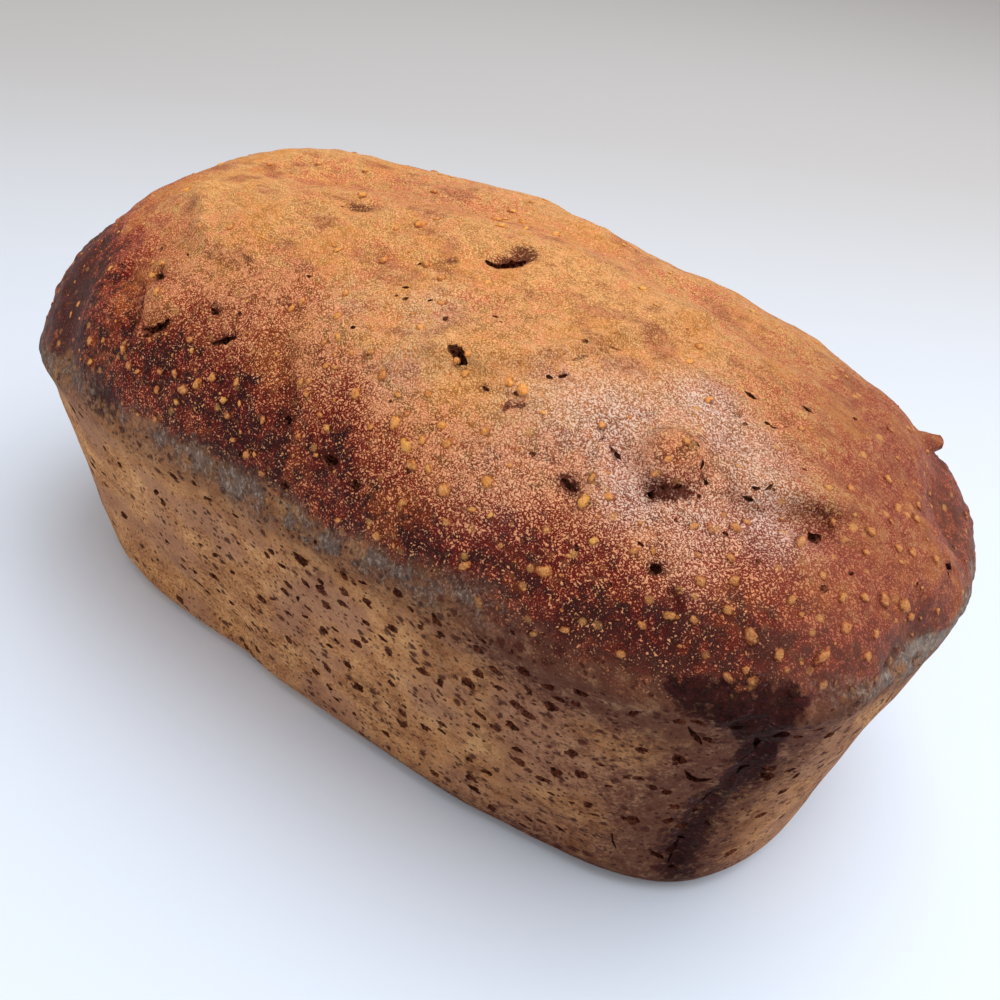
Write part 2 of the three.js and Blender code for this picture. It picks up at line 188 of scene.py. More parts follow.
@dataclass(frozen=True)
class LoafForm:
    """The smooth loaf: its driving sizes in mm and degrees, as in the part's source.

    A place on it is a direction round the loaf and a level. Level 0 to 1 goes up the tin wall and
    1 to 2 goes from the rim over the crown to its top.
    """

    rim_length: float = 215.0
    rim_width: float = 115.0
    rim_height: float = 56.6
    rim_climb: float = 3.7
    end_lean: float = 11.6
    side_lean: float = 9.1
    bottom_edge: float = 5.6
    crown_rise: float = 45.9
    crown_drop: float = 3.5
    crown_shift: float = 20.0
    end_squareness: float = 4.2
    side_squareness: float = 2.5
    top_squareness: float = 2.0
    crown_fullness: float = 0.91

    @property
    def half_length(self) -> float:
        """Half of the rim's length."""
        return self.rim_length / 2

    @property
    def half_width(self) -> float:
        """Half of the rim's width."""
        return self.rim_width / 2

    def rim_at(self, x: Array) -> Array:
        """Height of the rim, which climbs evenly towards +X."""
        return self.rim_height + self.rim_climb * x / self.half_length

    def wall_half_sizes(self, height: Array) -> tuple[Array, Array]:
        """Half length and half width of the wall: a leaning plane with a quarter round at its foot.

        Args:
            height: heights above the underside.

        Returns:
            The half lengths and the half widths.
        """
        below = self.rim_height - height
        in_edge = np.maximum(self.bottom_edge - height, 0)
        edge = self.bottom_edge - np.sqrt(np.maximum(self.bottom_edge**2 - in_edge**2, 0))
        long = self.half_length - below * math.tan(self.end_lean * DEGREE) - edge
        wide = self.half_width - below * math.tan(self.side_lean * DEGREE) - edge
        return long, wide

    def ring(self, level: Array) -> tuple[Array, ...]:
        """The outline at a level: |(x - shift) / a|^p + |y / b|^q = 1.

        On the crown a and b shrink with the cosine of the angle up from the rim, p and q ease to an
        ellipse with its sine, and the outline slides towards -X.

        Args:
            level: levels from 0 to 2.

        Returns:
            a, b, p, q and shift.
        """
        angle = np.clip(level - 1, 0, 1) * math.pi / 2
        shrink, lifted = np.maximum(np.cos(angle), 0), np.sin(angle)
        wall_a, wall_b = self.wall_half_sizes(np.minimum(level, 1) * self.rim_height)
        a = np.where(level < 1, wall_a, self.half_length * shrink**self.crown_fullness)
        b = np.where(level < 1, wall_b, self.half_width * shrink)
        p = self.end_squareness + (self.top_squareness - self.end_squareness) * lifted
        q = self.side_squareness + (self.top_squareness - self.side_squareness) * lifted
        return a, b, p, q, -self.crown_shift * (1 - shrink)

    def points(self, direction: Array, level: Array) -> Array:
        """Points of the smooth loaf.

        In each direction the outline's reach is found by halving. The height is the level's share
        of the rim height on the wall, and the rim height plus a sine of the rise on the crown.

        Args:
            direction: angles round the loaf.
            level: levels from 0 to 2.

        Returns:
            Points in mm, shape (N, 3).
        """
        a, b, p, q, shift = self.ring(level)
        along, across = np.abs(np.cos(direction)), np.abs(np.sin(direction))
        low, high = np.full(len(direction), 0.9), np.full(len(direction), 1.5)
        for _ in range(36):
            reach = (low + high) / 2
            inside = (reach * along) ** p + (reach * across) ** q < 1
            low, high = np.where(inside, reach, low), np.where(inside, high, reach)
        x = a * low * np.cos(direction) + shift
        y = b * low * np.sin(direction)
        lifted = np.sin(np.clip(level - 1, 0, 1) * math.pi / 2)
        slope = np.minimum(level, 1) * self.rim_climb - self.crown_drop * lifted
        z = np.minimum(level, 1) * self.rim_height + self.crown_rise * lifted
        return np.stack([x, y, z + slope * x / self.half_length], -1)

    def normals(self, direction: Array, level: Array) -> Array:
        """Outward directions: the cross product of small steps round and up the smooth loaf."""
        step = 0.004
        low = np.clip(level - step, 0, 2 - 3 * step)
        around = self.points(direction + step, low + step) - self.points(direction - step, low + step)
        upwards = self.points(direction, low + 2 * step) - self.points(direction, low)
        return unit(np.cross(around, upwards))

    def place_of(self, points: Array) -> tuple[Array, Array, Array]:
        """Where points in space lie: direction, level, and how far outside, below 0 inside.

        Args:
            points: places in mm, shape (N, 3).

        Returns:
            The directions, the levels and the outline's value less 1.
        """
        x, y, z = points.T
        above = z - self.rim_at(x)
        lifted = np.clip(above / (self.crown_rise - self.crown_drop * x / self.half_length), 0, 0.9999)
        wall = z / self.rim_at(x)
        level = np.where(above > 0, 1 + np.arcsin(lifted) * 2 / math.pi, np.clip(wall, 0, 1))
        a, b, p, q, shift = self.ring(level)
        outside = np.abs((x - shift) / a) ** p + np.abs(y / b) ** q - 1
        return np.arctan2(y / b, (x - shift) / a), level, outside

    def over_plan(self, x: Array, y: Array) -> tuple[Array, Array]:
        """Direction and level of the crown above places in the plan, found by halving the level."""
        low, high = np.ones(len(x)), np.full(len(x), 2.0)
        for _ in range(36):
            level = (low + high) / 2
            a, b, p, q, shift = self.ring(level)
            inside = np.abs((x - shift) / a) ** p + np.abs(y / b) ** q < 1
            low, high = np.where(inside, level, low), np.where(inside, high, level)
        a, b, _, _, shift = self.ring(low)
        return np.arctan2(y / b, (x - shift) / a), low

    def even_directions(self, shares: Array) -> Array:
        """Directions at which shares of the rim's length, measured from its +X end, are reached."""
        fine = np.linspace(0, 2 * math.pi, 6001)
        rim = self.points(fine, np.ones(len(fine)))
        run = np.concatenate([[0], np.cumsum(np.linalg.norm(np.diff(rim, axis=0), axis=1))])
        return np.interp(np.mod(shares, 1) * run[-1], run, fine)


@dataclass(frozen=True)
class Swell:
    """A long low wave across the crown: height and length in mm, heading in degrees, start."""

    height: float
    length: float
    heading: float
    start: float


@dataclass(frozen=True)
class Fold:
    """A ridge or, below 0, a crease of the crust along a path through points of the plan.

    Left is the width on the left of someone who walks the path, and right the width on the right.
    """

    height: float
    left: float
    right: float
    through: tuple[Range, ...]

    def height_at(self, x: Array, y: Array) -> Array:
        """The ridge's height: a bell of the distance to the nearest stretch of the path.

        Args:
            x: places along the loaf.
            y: places across it.

        Returns:
            Heights in mm.
        """
        nearest = np.full(len(x), np.inf)
        side = np.ones(len(x))
        for (x0, y0), (x1, y1) in zip(self.through[:-1], self.through[1:]):
            run = np.array([x1 - x0, y1 - y0])
            share = np.clip(((x - x0) * run[0] + (y - y0) * run[1]) / (run @ run), 0, 1)
            away_x, away_y = x - x0 - share * run[0], y - y0 - share * run[1]
            distance = np.hypot(away_x, away_y)
            closer = distance < nearest
            side = np.where(closer, np.sign(run[0] * away_y - run[1] * away_x), side)
            nearest = np.minimum(nearest, distance)
        return self.height * bell(nearest, np.where(side > 0, self.left, self.right))


@dataclass(frozen=True)
class Dome:
    """A round bump of the crust, or a dent where it is below 0: place, radius and height."""

    x: float
    y: float
    radius: float
    height: float
    edge: float = 2.0

    def height_at(self, x: Array, y: Array) -> Array:
        """A dome that is flat at the middle and steeper at its edge: 1 - (distance / radius)^edge."""
        share = np.hypot(x - self.x, y - self.y) / self.radius
        return self.height * np.clip(1 - share**self.edge, 0, 1) ** 1.5


def path_distance(points: Array, path: Array) -> Array:
    """Distance from points to a path of straight stretches, or to its one place.

    Args:
        points: places in mm, shape (N, 3).
        path: the path's places, shape (K, 3).

    Returns:
        Distances in mm, shape (N,).
    """
    nearest = np.linalg.norm(points - path[0], axis=1)
    for start, end in zip(path[:-1], path[1:]):
        run = end - start
        share = np.clip((points - start) @ run / (run @ run), 0, 1)
        nearest = np.minimum(nearest, np.linalg.norm(points - start - share[:, None] * run, axis=1))
    return nearest


@dataclass(frozen=True)
class PhotoCamera:
    """The camera of the photograph, in the loaf's own frame in mm."""

    target: Triple = (11.34, 0.61, 38.45)
    distance: float = 236.1
    azimuth: float = 31.86
    elevation: float = 35.14
    roll: float = 7.495
    lens: float = 37.16
    sensor: float = 36.0
    picture: int = 1000
    nearest: float = 80.0
    farthest: float = 400.0
    stride: float = 2.5

    def axes(self) -> Array:
        """Right, up and back as rows: azimuth and elevation, then a roll about the line of sight."""
        a, e, r = (value * DEGREE for value in (self.azimuth, self.elevation, self.roll))
        back = np.array([math.sin(a) * math.cos(e), -math.cos(a) * math.cos(e), math.sin(e)])
        right = unit(np.cross(UP, back))
        up = np.cross(back, right)
        cosine, sine = math.cos(r), math.sin(r)
        return np.stack([right * cosine + up * sine, up * cosine - right * sine, back])

    def eye(self) -> Array:
        """Where the camera stands."""
        return np.array(self.target) + self.axes()[2] * self.distance

    def land(self, pixels: Array, form: LoafForm) -> tuple[Array, Array]:
        """Where the lines of sight through pixels first meet the smooth loaf.

        Each line is walked in even strides, and the stride that enters the loaf is halved.

        Args:
            pixels: columns and rows of the picture, shape (N, 2).
            form: the smooth loaf.

        Returns:
            The directions and levels on the loaf.
        """
        right, up, back = self.axes()
        across, down = (pixels - self.picture / 2).T * self.sensor / self.lens / self.picture
        rays = unit(across[:, None] * right - down[:, None] * up - back)
        near = np.full(len(rays), self.nearest)
        outside = np.ones(len(rays), bool)
        for distance in np.arange(self.nearest, self.farthest, self.stride):
            outside &= form.place_of(self.eye() + rays * distance)[2] > 0
            near[outside] = distance
        far = near + self.stride
        for _ in range(20):
            middle = (near + far) / 2
            outside = form.place_of(self.eye() + rays * middle[:, None])[2] > 0
            near, far = np.where(outside, middle, near), np.where(outside, far, middle)
        direction, level, _ = form.place_of(self.eye() + rays * near[:, None])
        return direction, level

    def build(self, shift: Array) -> bpy.types.Object:
        """Makes the scene's camera.

        Args:
            shift: how far the loaf was moved out of its own frame, in mm.

        Returns:
            The camera.
        """
        data = bpy.data.cameras.new("photo_camera")
        data.lens, data.sensor_width = self.lens, self.sensor
        data.clip_start, data.clip_end = 0.01, 20
        camera = bpy.data.objects.new("photo_camera", data)
        turn = Matrix(self.axes().T.tolist()).to_4x4()
        camera.matrix_world = Matrix.Translation(Vector((self.eye() + shift) * MM)) @ turn
        bpy.context.scene.collection.objects.link(camera)
        bpy.context.scene.camera = camera
        return camera


@dataclass(frozen=True)
class Stroke:
    """A small ridge, groove, bump or dent through places that the photograph shows, in pixels.

    Width and height are in mm. Shade paints it: pale and golden above 0, below 0 dark stain and painted
    shade.
    """

    through: Pixels
    width: float
    height: float
    shade: float = 0.0


@dataclass(frozen=True)
class Tear:
    """A hole or crack torn along places that the photograph shows: each is column, row and width.

    Widths and the depth are in mm. Under is how far, in degrees, it reaches below the far side.
    """

    through: tuple[Triple, ...]
    deep: float
    under: float = 15.0


@dataclass
class Strokes:
    """All the small strokes of the crust, each found once on the smooth loaf."""

    form: LoafForm
    camera: PhotoCamera
    # Below 0, shade paints dark stains and painted shade in grooves, under bumps and round holes.
    strokes: tuple[Stroke, ...] = tuple(Stroke(*row) for row in (
        (((195, 200), (210, 211)), 0.8, 0.45, 0.8),
        (((218, 200), (210, 211), (211, 228), (212, 245), (206, 251)), 0.8, 0.5, 0.8),
        (((215, 214), (218, 230), (219, 244)), 0.7, -0.35, -0.5),
        (((228, 250), (245, 258), (250, 262)), 0.6, -0.3, -0.8), (((124, 267),), 1.0, -0.6, -0.9),
        (((128, 275), (137, 285), (143, 295), (145, 308), (147, 318)), 0.9, -0.6, -0.8),
        (((147, 317), (158, 318), (170, 312)), 1.4, 1.0, 0.55),
        (((155, 265), (163, 263), (171, 267)), 1.2, 0.8, 0.6),
        (((130, 271), (140, 277)), 1.3, 0.6, 0.5), (((205, 307), (211, 317)), 1.1, 0.1, 0.55),
        (((211, 346), (223, 345), (234, 342)), 0.8, 0.4, 0.5),
        (((203, 302), (214, 302), (222, 308)), 0.9, 0.5, -0.2), (((98, 294),), 1.2, 0.0, 0.35),
        (((162, 292), (168, 300)), 1.0, 0.5, 0.4),
        (((286, 338), (283, 360), (288, 385), (297, 410)), 1.6, -0.45, -0.35),
        (((296, 340), (292, 362), (297, 388)), 1.6, 0.35, 0.15),
        (((462, 273), (476, 276), (487, 282)), 0.6, 0.35, 0.5),
        (((440, 262), (448, 270)), 2.6, -0.3, -0.3), (((453, 259),), 0.8, -0.3, -0.9),
        (((356, 204), (364, 205)), 1.9, -1.1, -0.8), (((354, 196), (364, 197)), 1.1, 0.7, 0.4),
        (((418, 192), (424, 195)), 1.0, -0.4, -0.5), (((482, 243), (485, 244)), 1.2, 0.9, 0.6),
        (((490, 248), (496, 250), (503, 251)), 1.1, 0.9, 0.6),
        (((526, 249), (529, 257)), 1.3, -0.5, -0.5),
        (((491, 264), (500, 269), (512, 272)), 1.6, 0.35, 0.2),
        (((488, 260), (497, 263)), 1.0, -0.4, -0.25),
        (((505, 410), (509, 405), (517, 404), (523, 408)), 0.7, -0.6, -0.8),
        (((509, 411), (517, 412)), 0.9, 0.2, 0.2),
        (((471, 366), (495, 367), (519, 366), (551, 360), (583, 350), (620, 341),
         (635, 338)), 1.4, 0.9, 0.55),
        (((519, 373), (545, 368), (562, 363), (590, 355), (622, 347)), 0.7, -0.6, -0.6),
        (((330, 292), (380, 300), (430, 312), (480, 330)), 2.2, 0.5, 0.3),
        (((340, 303), (390, 312), (440, 326)), 1.6, -0.4, -0.2),
        (((660, 462), (675, 452), (690, 462), (692, 478)), 2.4, 0.3, 0.35),
        (((652, 497), (670, 495), (690, 491)), 0.9, 0.0, -0.5),
        (((437, 353), (446, 357)), 0.6, -0.3, -0.6), (((588, 478), (596, 484)), 1.9, 0.9, 0.35),
        (((560, 474), (570, 473), (578, 478)), 1.0, 0.5, 0.1),
        (((666, 448), (674, 453)), 1.3, -0.3, -0.7), (((736, 406), (740, 408)), 1.5, 0.7, 0.25),
        (((750, 406), (755, 408)), 1.5, 0.7, 0.25), (((735, 413), (742, 415)), 0.8, -0.4, -0.75),
        (((751, 412), (757, 414)), 0.8, -0.4, -0.75), (((768, 414), (783, 417)), 1.0, 0.5, 0.2),
        (((795, 514), (812, 521), (830, 520)), 3.4, -1.0, -0.35),
        (((800, 512), (815, 511), (827, 516)), 0.7, -0.4, -0.6),
        (((742, 485), (752, 484), (765, 486)), 1.5, 0.5, 0.2),
        (((645, 577), (656, 580)), 1.2, 0.3, 0.3),
        (((672, 591), (676, 598), (680, 607)), 0.9, -0.7, -0.85),
        (((668, 683), (680, 686), (690, 685), (703, 685)), 0.45, 0.3, 0.95),
        (((566, 655), (572, 668), (578, 676)), 0.5, 0.2, 0.35),
        (((640, 445), (652, 430), (668, 425)), 3.2, 0.4, 0.0),
        (((600, 470), (615, 500), (640, 508)), 3.0, 0.35, 0.0),
        (((722, 470), (730, 490), (724, 510)), 3.0, -0.35, 0.0),
        (((757, 508), (772, 520)), 3.0, 0.5, 0.15), (((610, 845), (625, 850)), 2.2, -0.2, -0.3),
        (((325, 168), (450, 192), (545, 217), (640, 262), (720, 302), (800, 352), (850, 387)), 8.0, -2.2),
        (((290, 162), (360, 166)), 8.0, -1.8), (((945, 470), (950, 515)), 9.0, -2.2),
        (((925, 642), (902, 672)), 7.0, -2.4), (((955, 505), (962, 530)), 5.0, -1.6),
        (((70, 290), (58, 365)), 8.0, -2.0), (((125, 520), (175, 585), (230, 632)), 8.0, -2.8),
        (((674, 470),), 5.0, 0.0, -0.3),
        (((657, 487), (668, 487), (679, 488), (688, 483)), 0.8, -0.8, -0.4),
        (((695, 450), (701, 462), (700, 474), (692, 484)), 0.7, -0.5, -0.5),
        (((603, 438), (610, 440), (615, 448), (620, 455)), 0.6, -0.3, -0.9),
        (((564, 480), (574, 488)), 1.6, -0.4, -0.35),
        (((502, 254), (512, 254), (521, 254)), 2.6, -0.9, -0.55),
        (((649, 468), (648, 484), (656, 495), (672, 498), (690, 492), (701, 478),
         (702, 460)), 0.6, -0.5, -0.35), (((505, 812), (545, 830)), 7.0, -1.5),
    ))
    paths: list[Array] = field(init=False)

    def __post_init__(self) -> None:
        """Finds every stroke's places on the smooth loaf."""
        pixels = np.array([pixel for stroke in self.strokes for pixel in stroke.through], float)
        points = self.form.points(*self.camera.land(pixels, self.form))
        ends = np.cumsum([len(stroke.through) for stroke in self.strokes])
        self.paths = np.split(points, ends[:-1])

    def height(self, points: Array) -> Array:
        """Relief of all the strokes at places on the smooth loaf."""
        total = np.zeros(len(points))
        for stroke, path in zip(self.strokes, self.paths):
            total += stroke.height * bell(path_distance(points, path), stroke.width)
        return total

    def shade(self, points: Array) -> Array:
        """The strokes' paint: above 0 pale, below 0 dark."""
        total = np.zeros(len(points))
        for stroke, path in zip(self.strokes, self.paths):
            total += stroke.shade * bell(path_distance(points, path), stroke.width * 1.05)
        return np.clip(total, -1, 1)


@dataclass
class Tears:
    """All the holes and cracks of the crust, each followed in even steps over the smooth loaf."""

    form: LoafForm
    camera: PhotoCamera
    tears: tuple[Tear, ...] = tuple(Tear(*row) for row in (
        (((487, 252.5, 0.5), (492, 255, 1.3), (499, 258, 1.8), (507, 259, 2.8), (515, 259, 3.1),
         (522, 257, 1.9), (526, 255, 0.6)), 2.8, 42),
        (((451, 354, 0.3), (455, 357, 1.9), (460, 361, 2.6), (465, 366, 1.8), (469, 369, 0.4)), 2.6, 10),
        (((146, 328, 0.8), (149, 331, 1.8), (153, 329, 1.2), (159, 326, 1.5), (165, 323, 1.3),
         (170, 319, 0.4)), 2.4, 40), (((210, 307, 0.5), (213, 310, 1.6), (217, 312, 0.5)), 1.6),
        (((209, 342, 0.3), (216, 341, 1.2), (225, 339, 1.7), (231, 337, 1.0), (236, 336, 0.3)), 1.8, 30),
        (((154, 273, 0.5), (158, 275, 1.9), (162, 277, 0.5)), 1.6, 20),
        (((282, 418, 0.5), (286, 420, 2.3), (290, 421, 0.6)), 1.8, 10),
        (((321, 457, 0.5), (326, 460, 2.5), (332, 461, 1.9), (338, 462, 0.4)), 2.0, 10),
        (((278, 484, 0.4), (282, 486, 2.0), (286, 488, 0.5)), 1.4),
        (((353, 483, 0.4), (357, 484, 2.4), (362, 486, 0.6)), 1.6),
        (((546, 379, 0.3), (549, 380, 1.0), (553, 382, 0.3)), 1.0),
        (((558, 381, 0.3), (562, 379, 1.1), (567, 377, 0.3)), 1.0),
        (((615, 449, 0.3), (618, 453, 1.1), (622, 457, 0.3)), 1.1, 5),
        (((561, 478, 0.3), (565, 480, 1.2), (569, 484, 1.0), (573, 488, 1.4), (577, 491, 0.3)), 1.2, 10),
        (((648, 491, 0.5), (651, 491, 1.8), (655, 489, 0.5)), 1.8, 30),
        (((660, 487, 0.3), (664, 488, 1.1), (668, 488, 0.4)), 1.0, 20),
        (((672, 489, 0.3), (676, 489, 1.2), (681, 487, 0.3)), 1.0, 20),
        (((700, 461, 0.3), (701, 467, 0.7), (698, 473, 0.3)), 0.9, 0),
        (((747, 387, 0.3), (751, 389, 1.1), (756, 392, 1.2), (760, 394, 0.3)), 1.3),
        (((768, 417, 0.3), (772, 417, 1.0), (777, 421, 0.9), (782, 421, 0.3)), 1.1),
        (((806, 403, 0.4), (809, 407, 1.3), (813, 410, 0.3)), 1.3),
        (((744, 495, 0.3), (749, 498, 1.0), (754, 500, 0.3)), 1.0, 20),
        (((750, 489, 0.3), (754, 491, 0.9), (758, 491, 0.3)), 0.9),
        (((762, 493, 0.3), (766, 491, 0.8), (769, 488, 0.3)), 0.9),
        (((816, 533, 0.6), (820, 533, 2.2), (825, 531, 1.5), (829, 529, 0.3)), 2.4, 20),
        (((648, 574, 0.4), (653, 570, 2.0), (658, 569, 1.9), (662, 572, 0.3)), 2.0, 25),
        (((704, 480, 0.3), (706, 481, 1.0), (709, 482, 0.3)), 0.9),
        (((941, 565, 0.4), (944, 567, 1.5), (948, 569, 0.4)), 1.3),
        (((483, 387, 0.3), (486, 389, 0.8), (489, 391, 0.3)), 0.8),
        (((688, 730, 0.3), (692, 737, 1.1), (698, 744, 1.2), (702, 749, 0.3)), 1.2, 0),
        (((649, 847, 0.5), (655, 852, 1.9), (663, 857, 0.8)), 1.3, 0),
        (((612, 832, 0.3), (613, 840, 0.6), (616, 848, 0.3)), 0.8, 0),
        (((684, 775, 0.3), (690, 781, 1.5), (698, 786, 1.9), (706, 785, 1.4), (714, 783, 0.4)), 1.6, -20),
        (((668, 861, 0.4), (673, 851, 1.3), (679, 842, 0.4)), 1.0, 0),
        (((703, 809, 0.3), (711, 801, 1.1), (721, 794, 0.3)), 0.9, 0),
        (((738, 779, 0.4), (745, 773, 1.1), (751, 768, 0.3)), 1.0, 0),
        (((757, 757, 0.4), (760, 750, 1.5), (757, 742, 0.4)), 1.2, 0),
    ))
    spacing: float = 0.5
    rim: float = 1.0
    rim_drop: float = 0.5
    directions: list[Array] = field(init=False)
    levels: list[Array] = field(init=False)
    points: list[Array] = field(init=False)
    widths: list[Array] = field(init=False)

    def __post_init__(self) -> None:
        """Finds even steps along every tear, first on its corners and then between them."""
        tables = [np.array(tear.through) for tear in self.tears]
        corners = self.form.points(*self.camera.land(np.vstack(tables)[:, :2], self.form))
        pixels, self.widths = [], []
        stops = np.cumsum([len(table) for table in tables])[:-1]
        for table, places in zip(tables, np.split(corners, stops)):
            run = np.concatenate([[0], np.cumsum(np.linalg.norm(np.diff(places, axis=0), axis=1))])
            steps = np.linspace(0, run[-1], max(5, round(run[-1] / self.spacing) + 1))
            pixels.append(np.stack([np.interp(steps, run, table[:, axis]) for axis in (0, 1)], -1))
            self.widths.append(np.interp(steps, run, table[:, 2]))
        ends = np.cumsum([len(places) for places in pixels])[:-1]
        direction, level = self.camera.land(np.vstack(pixels), self.form)
        self.directions, self.levels = np.split(direction, ends), np.split(level, ends)
        self.points = np.split(self.form.points(direction, level), ends)

    def nearness(self, points: Array, reach: float) -> Array:
        """1 inside a tear, falling smoothly to 0 round it: a bell of the distance to its edge.

        Args:
            points: places in mm, shape (N, 3).
            reach: the bell's width in mm.

        Returns:
            Values from 0 to 1, less for the narrow tears, shape (N,).
        """
        total = np.zeros(len(points))
        for path, width in zip(self.points, self.widths):
            middle = path.mean(0)
            room = np.linalg.norm(path - middle, axis=1).max() + width.max() + 3 * reach
            close = np.flatnonzero(np.linalg.norm(points - middle, axis=1) < room)
            away = np.linalg.norm(points[close, None] - path[None], axis=2) - width / 2
            strength = min(1.0, 0.35 + 0.3 * width.max())
            total[close] = np.maximum(total[close], strength * bell(np.maximum(away.min(1), 0), reach))
        return total

    def height(self, points: Array) -> Array:
        """How far the crust sinks towards the tears."""
        return -self.rim_drop * self.nearness(points, self.rim)


@dataclass(frozen=True)
class CrustRelief:
    """All that stands out from the smooth loaf or sinks into it without being cut."""

    form: LoafForm
    strokes: Strokes
    tears: Tears
    noise: Noise = Noise(11)
    swells: tuple[Swell, ...] = (
        Swell(0.45, 71, 25, 0.4),
        Swell(0.35, 43, 110, 2.1),
        Swell(0.3, 31, 64, 4.0),
        Swell(0.2, 19, 155, 1.2),
    )
    folds: tuple[Fold, ...] = (
        Fold(1.5, 6.5, 1.5, ((20, -36), (27, -33), (35, -27), (38, -21), (44, -10), (48, 2))),
        Fold(1.0, 5.0, 3.0, ((2, -39), (12, -38), (20, -36))),
        Fold(-1.1, 3.0, 3.0, ((-14, -42), (-9, -46), (-5, -50))),
        Fold(1.1, 1.8, 2.4, ((-58, -20), (-51, -27), (-47, -31))),
        Fold(0.8, 1.5, 2.0, ((-47, -31), (-42, -34), (-36, -34), (-31, -34))),
        Fold(-2.0, 2.4, 3.2, ((-61, -41), (-56, -43), (-52, -45), (-49, -48))),
        Fold(1.4, 3.0, 1.2, ((-50, -46), (-44, -46), (-40, -46))),
        Fold(1.9, 3.6, 1.8, ((74, -26), (80, -20), (86, -16))),
        Fold(-1.9, 3.0, 5.0, ((79, -25), (86, -21))),
        Fold(-1.0, 1.2, 1.4, ((49, -33), (53, -32), (56, -35))),
        Fold(-0.9, 1.6, 1.6, ((62, -15), (67, -12), (71, -8))),
        Fold(0.9, 6.0, 6.0, ((30, -50), (52, -49), (72, -42))),
    )
    domes: tuple[Dome, ...] = (
        Dome(62, -30, 6.2, 3.4, 4.0),
        Dome(54, -42, 3.6, 1.1),
        Dome(84, -27, 3.2, 1.2),
        Dome(66, -13, 5.0, 0.8),
        Dome(74, 0, 6.0, 0.9),
        Dome(36, -37.5, 2.6, -0.8),
        Dome(11, -14, 8.5, -1.3),
        Dome(73, -28, 5.0, -0.9),
    )
    lip_out: float = 0.6
    lip_out_at_end: float = 0.7
    lip_drop: float = 7.0
    lip_above: float = 6.0
    lip_unevenness: float = 0.8
    lip_lumps: tuple[Range, ...] = ((1.0, 5.5), (0.5, 2.1))
    corner_pixels: Pixels = (
        (748, 705), (757, 728), (762, 750), (754, 772), (738, 788), (714, 805), (696, 827), (682, 848),
        (674, 868),
    )
    corner_width: float = 3.6
    corner_depth: float = 1.3
    foot: Triple = (84, -35, 6)
    foot_swell: float = 1.3
    foot_width: float = 13.0
    wall_lumps: tuple[Range, ...] = ((0.22, 8.0), (0.12, 3.2))
    lumps: tuple[Range, ...] = ((0.5, 17.0), (0.36, 7.0), (0.17, 3.1))
    end_lumps: tuple[float, ...] = (0.0, 0.25, 0.16)
    pimple: float = 0.1
    end_pimple: float = 0.34
    pimple_spacing: float = 4.2
    pimple_edge: Range = (0.12, 0.5)  # shares of the spacing, from a pimple's flat top to its foot
    listed_until: float = 24.0  # no fold or dome is listed beyond this y
    middle: float = -8.0  # the x from which the crown's rougher ends are measured
    ends: Range = (62.0, 108.0)  # mm from there, where they begin and are full
    crown_begins: Range = (0.98, 1.1)  # levels

    def crown(self, points: Array, level: Array) -> Array:
        """Relief of the crown: swells, folds, domes and three sizes of lumps."""
        x, y, z = points.T
        total = np.zeros(len(points))
        for wave in self.swells:
            run = x * math.cos(wave.heading * DEGREE) + y * math.sin(wave.heading * DEGREE)
            bend = 0.8 * np.sin((z + y) / 19 + wave.start)
            total += wave.height * np.sin(run / wave.length * 2 * math.pi + wave.start + bend)
        near = y < self.listed_until
        for feature in (*self.folds, *self.domes):
            total += feature.height_at(x, y) * near
        towards_end = ease(np.abs(x - self.middle), *self.ends)
        for (height, size), at_end in zip(self.lumps, self.end_lumps):
            total += (height + at_end * towards_end) * self.noise.waves(points + size, size)
        pimples = 1 - ease(self.noise.cells(points, self.pimple_spacing), *self.pimple_edge)
        total += (self.pimple + self.end_pimple * towards_end) * pimples
        return total * ease(level, *self.crown_begins)

    def lip(self, points: Array, level: Array) -> Array:
        """The overhanging lip: it swells slowly above the rim and ends abruptly below it."""
        x, y, z = points.T
        above = z - self.form.rim_at(x)
        band = np.where(above > 0, bell(above, self.lip_above), bell(above, self.lip_drop * 0.4))
        towards_end = ease(x, 0.2 * self.form.half_length, self.form.half_length)
        wobble = (np.sin(x / 8.5) + np.sin(y / 6.1 + 1) + np.sin((x - y) / 4.3)) / 3
        ragged = self.noise.mixed(points, self.lip_lumps)
        out = self.lip_out + (self.lip_out_at_end - self.lip_out) * towards_end
        out = out + self.lip_unevenness * (0.4 * wobble + 0.8 * ragged * (0.4 + towards_end))
        return np.where(level < 0.6, 0, out * band)

    def corner_distance(self, points: Array) -> Array:
        """Distance to the torn path down the corner."""
        place = self.strokes.camera.land(np.array(self.corner_pixels, float), self.form)
        return path_distance(points, self.form.points(*place))

    def tear(self, points: Array, level: Array) -> Array:
        """The torn band down the burnt corner: sunken, with ribs across it, and fuller at its foot."""
        away = self.corner_distance(points)
        ribs = self.noise.waves(points * np.array([1.0, 1.0, 1.8]), 4.5)
        crumbs = self.noise.waves(points, 1.9)
        depth = -self.corner_depth * (0.5 - 1.2 * ribs - 0.6 * crumbs)
        band = depth * bell(away, self.corner_width) * ease(level, 0.05, 0.2) * (level < 1.03)
        foot = bell(np.linalg.norm(points - np.array(self.foot), axis=1), self.foot_width)
        return band + self.foot_swell * foot * ease(level, 0, 0.06)

    def wall(self, points: Array, level: Array) -> Array:
        """The tin walls aren't dead flat: two slow waves of sines, and a little noise."""
        x, y, z = points.T
        slow = np.sin(x / 24 + 1.1) * np.sin(z / 15 + y / 30)
        quick = np.sin(x / 9 + z / 7) * np.sin(y / 8 - z / 11)
        grainy = self.noise.mixed(points, self.wall_lumps)
        on_wall = ease(level, 0.1, 0.35) * (1 - ease(level, 0.85, 1))
        return (0.5 * slow + 0.22 * quick + grainy) * on_wall

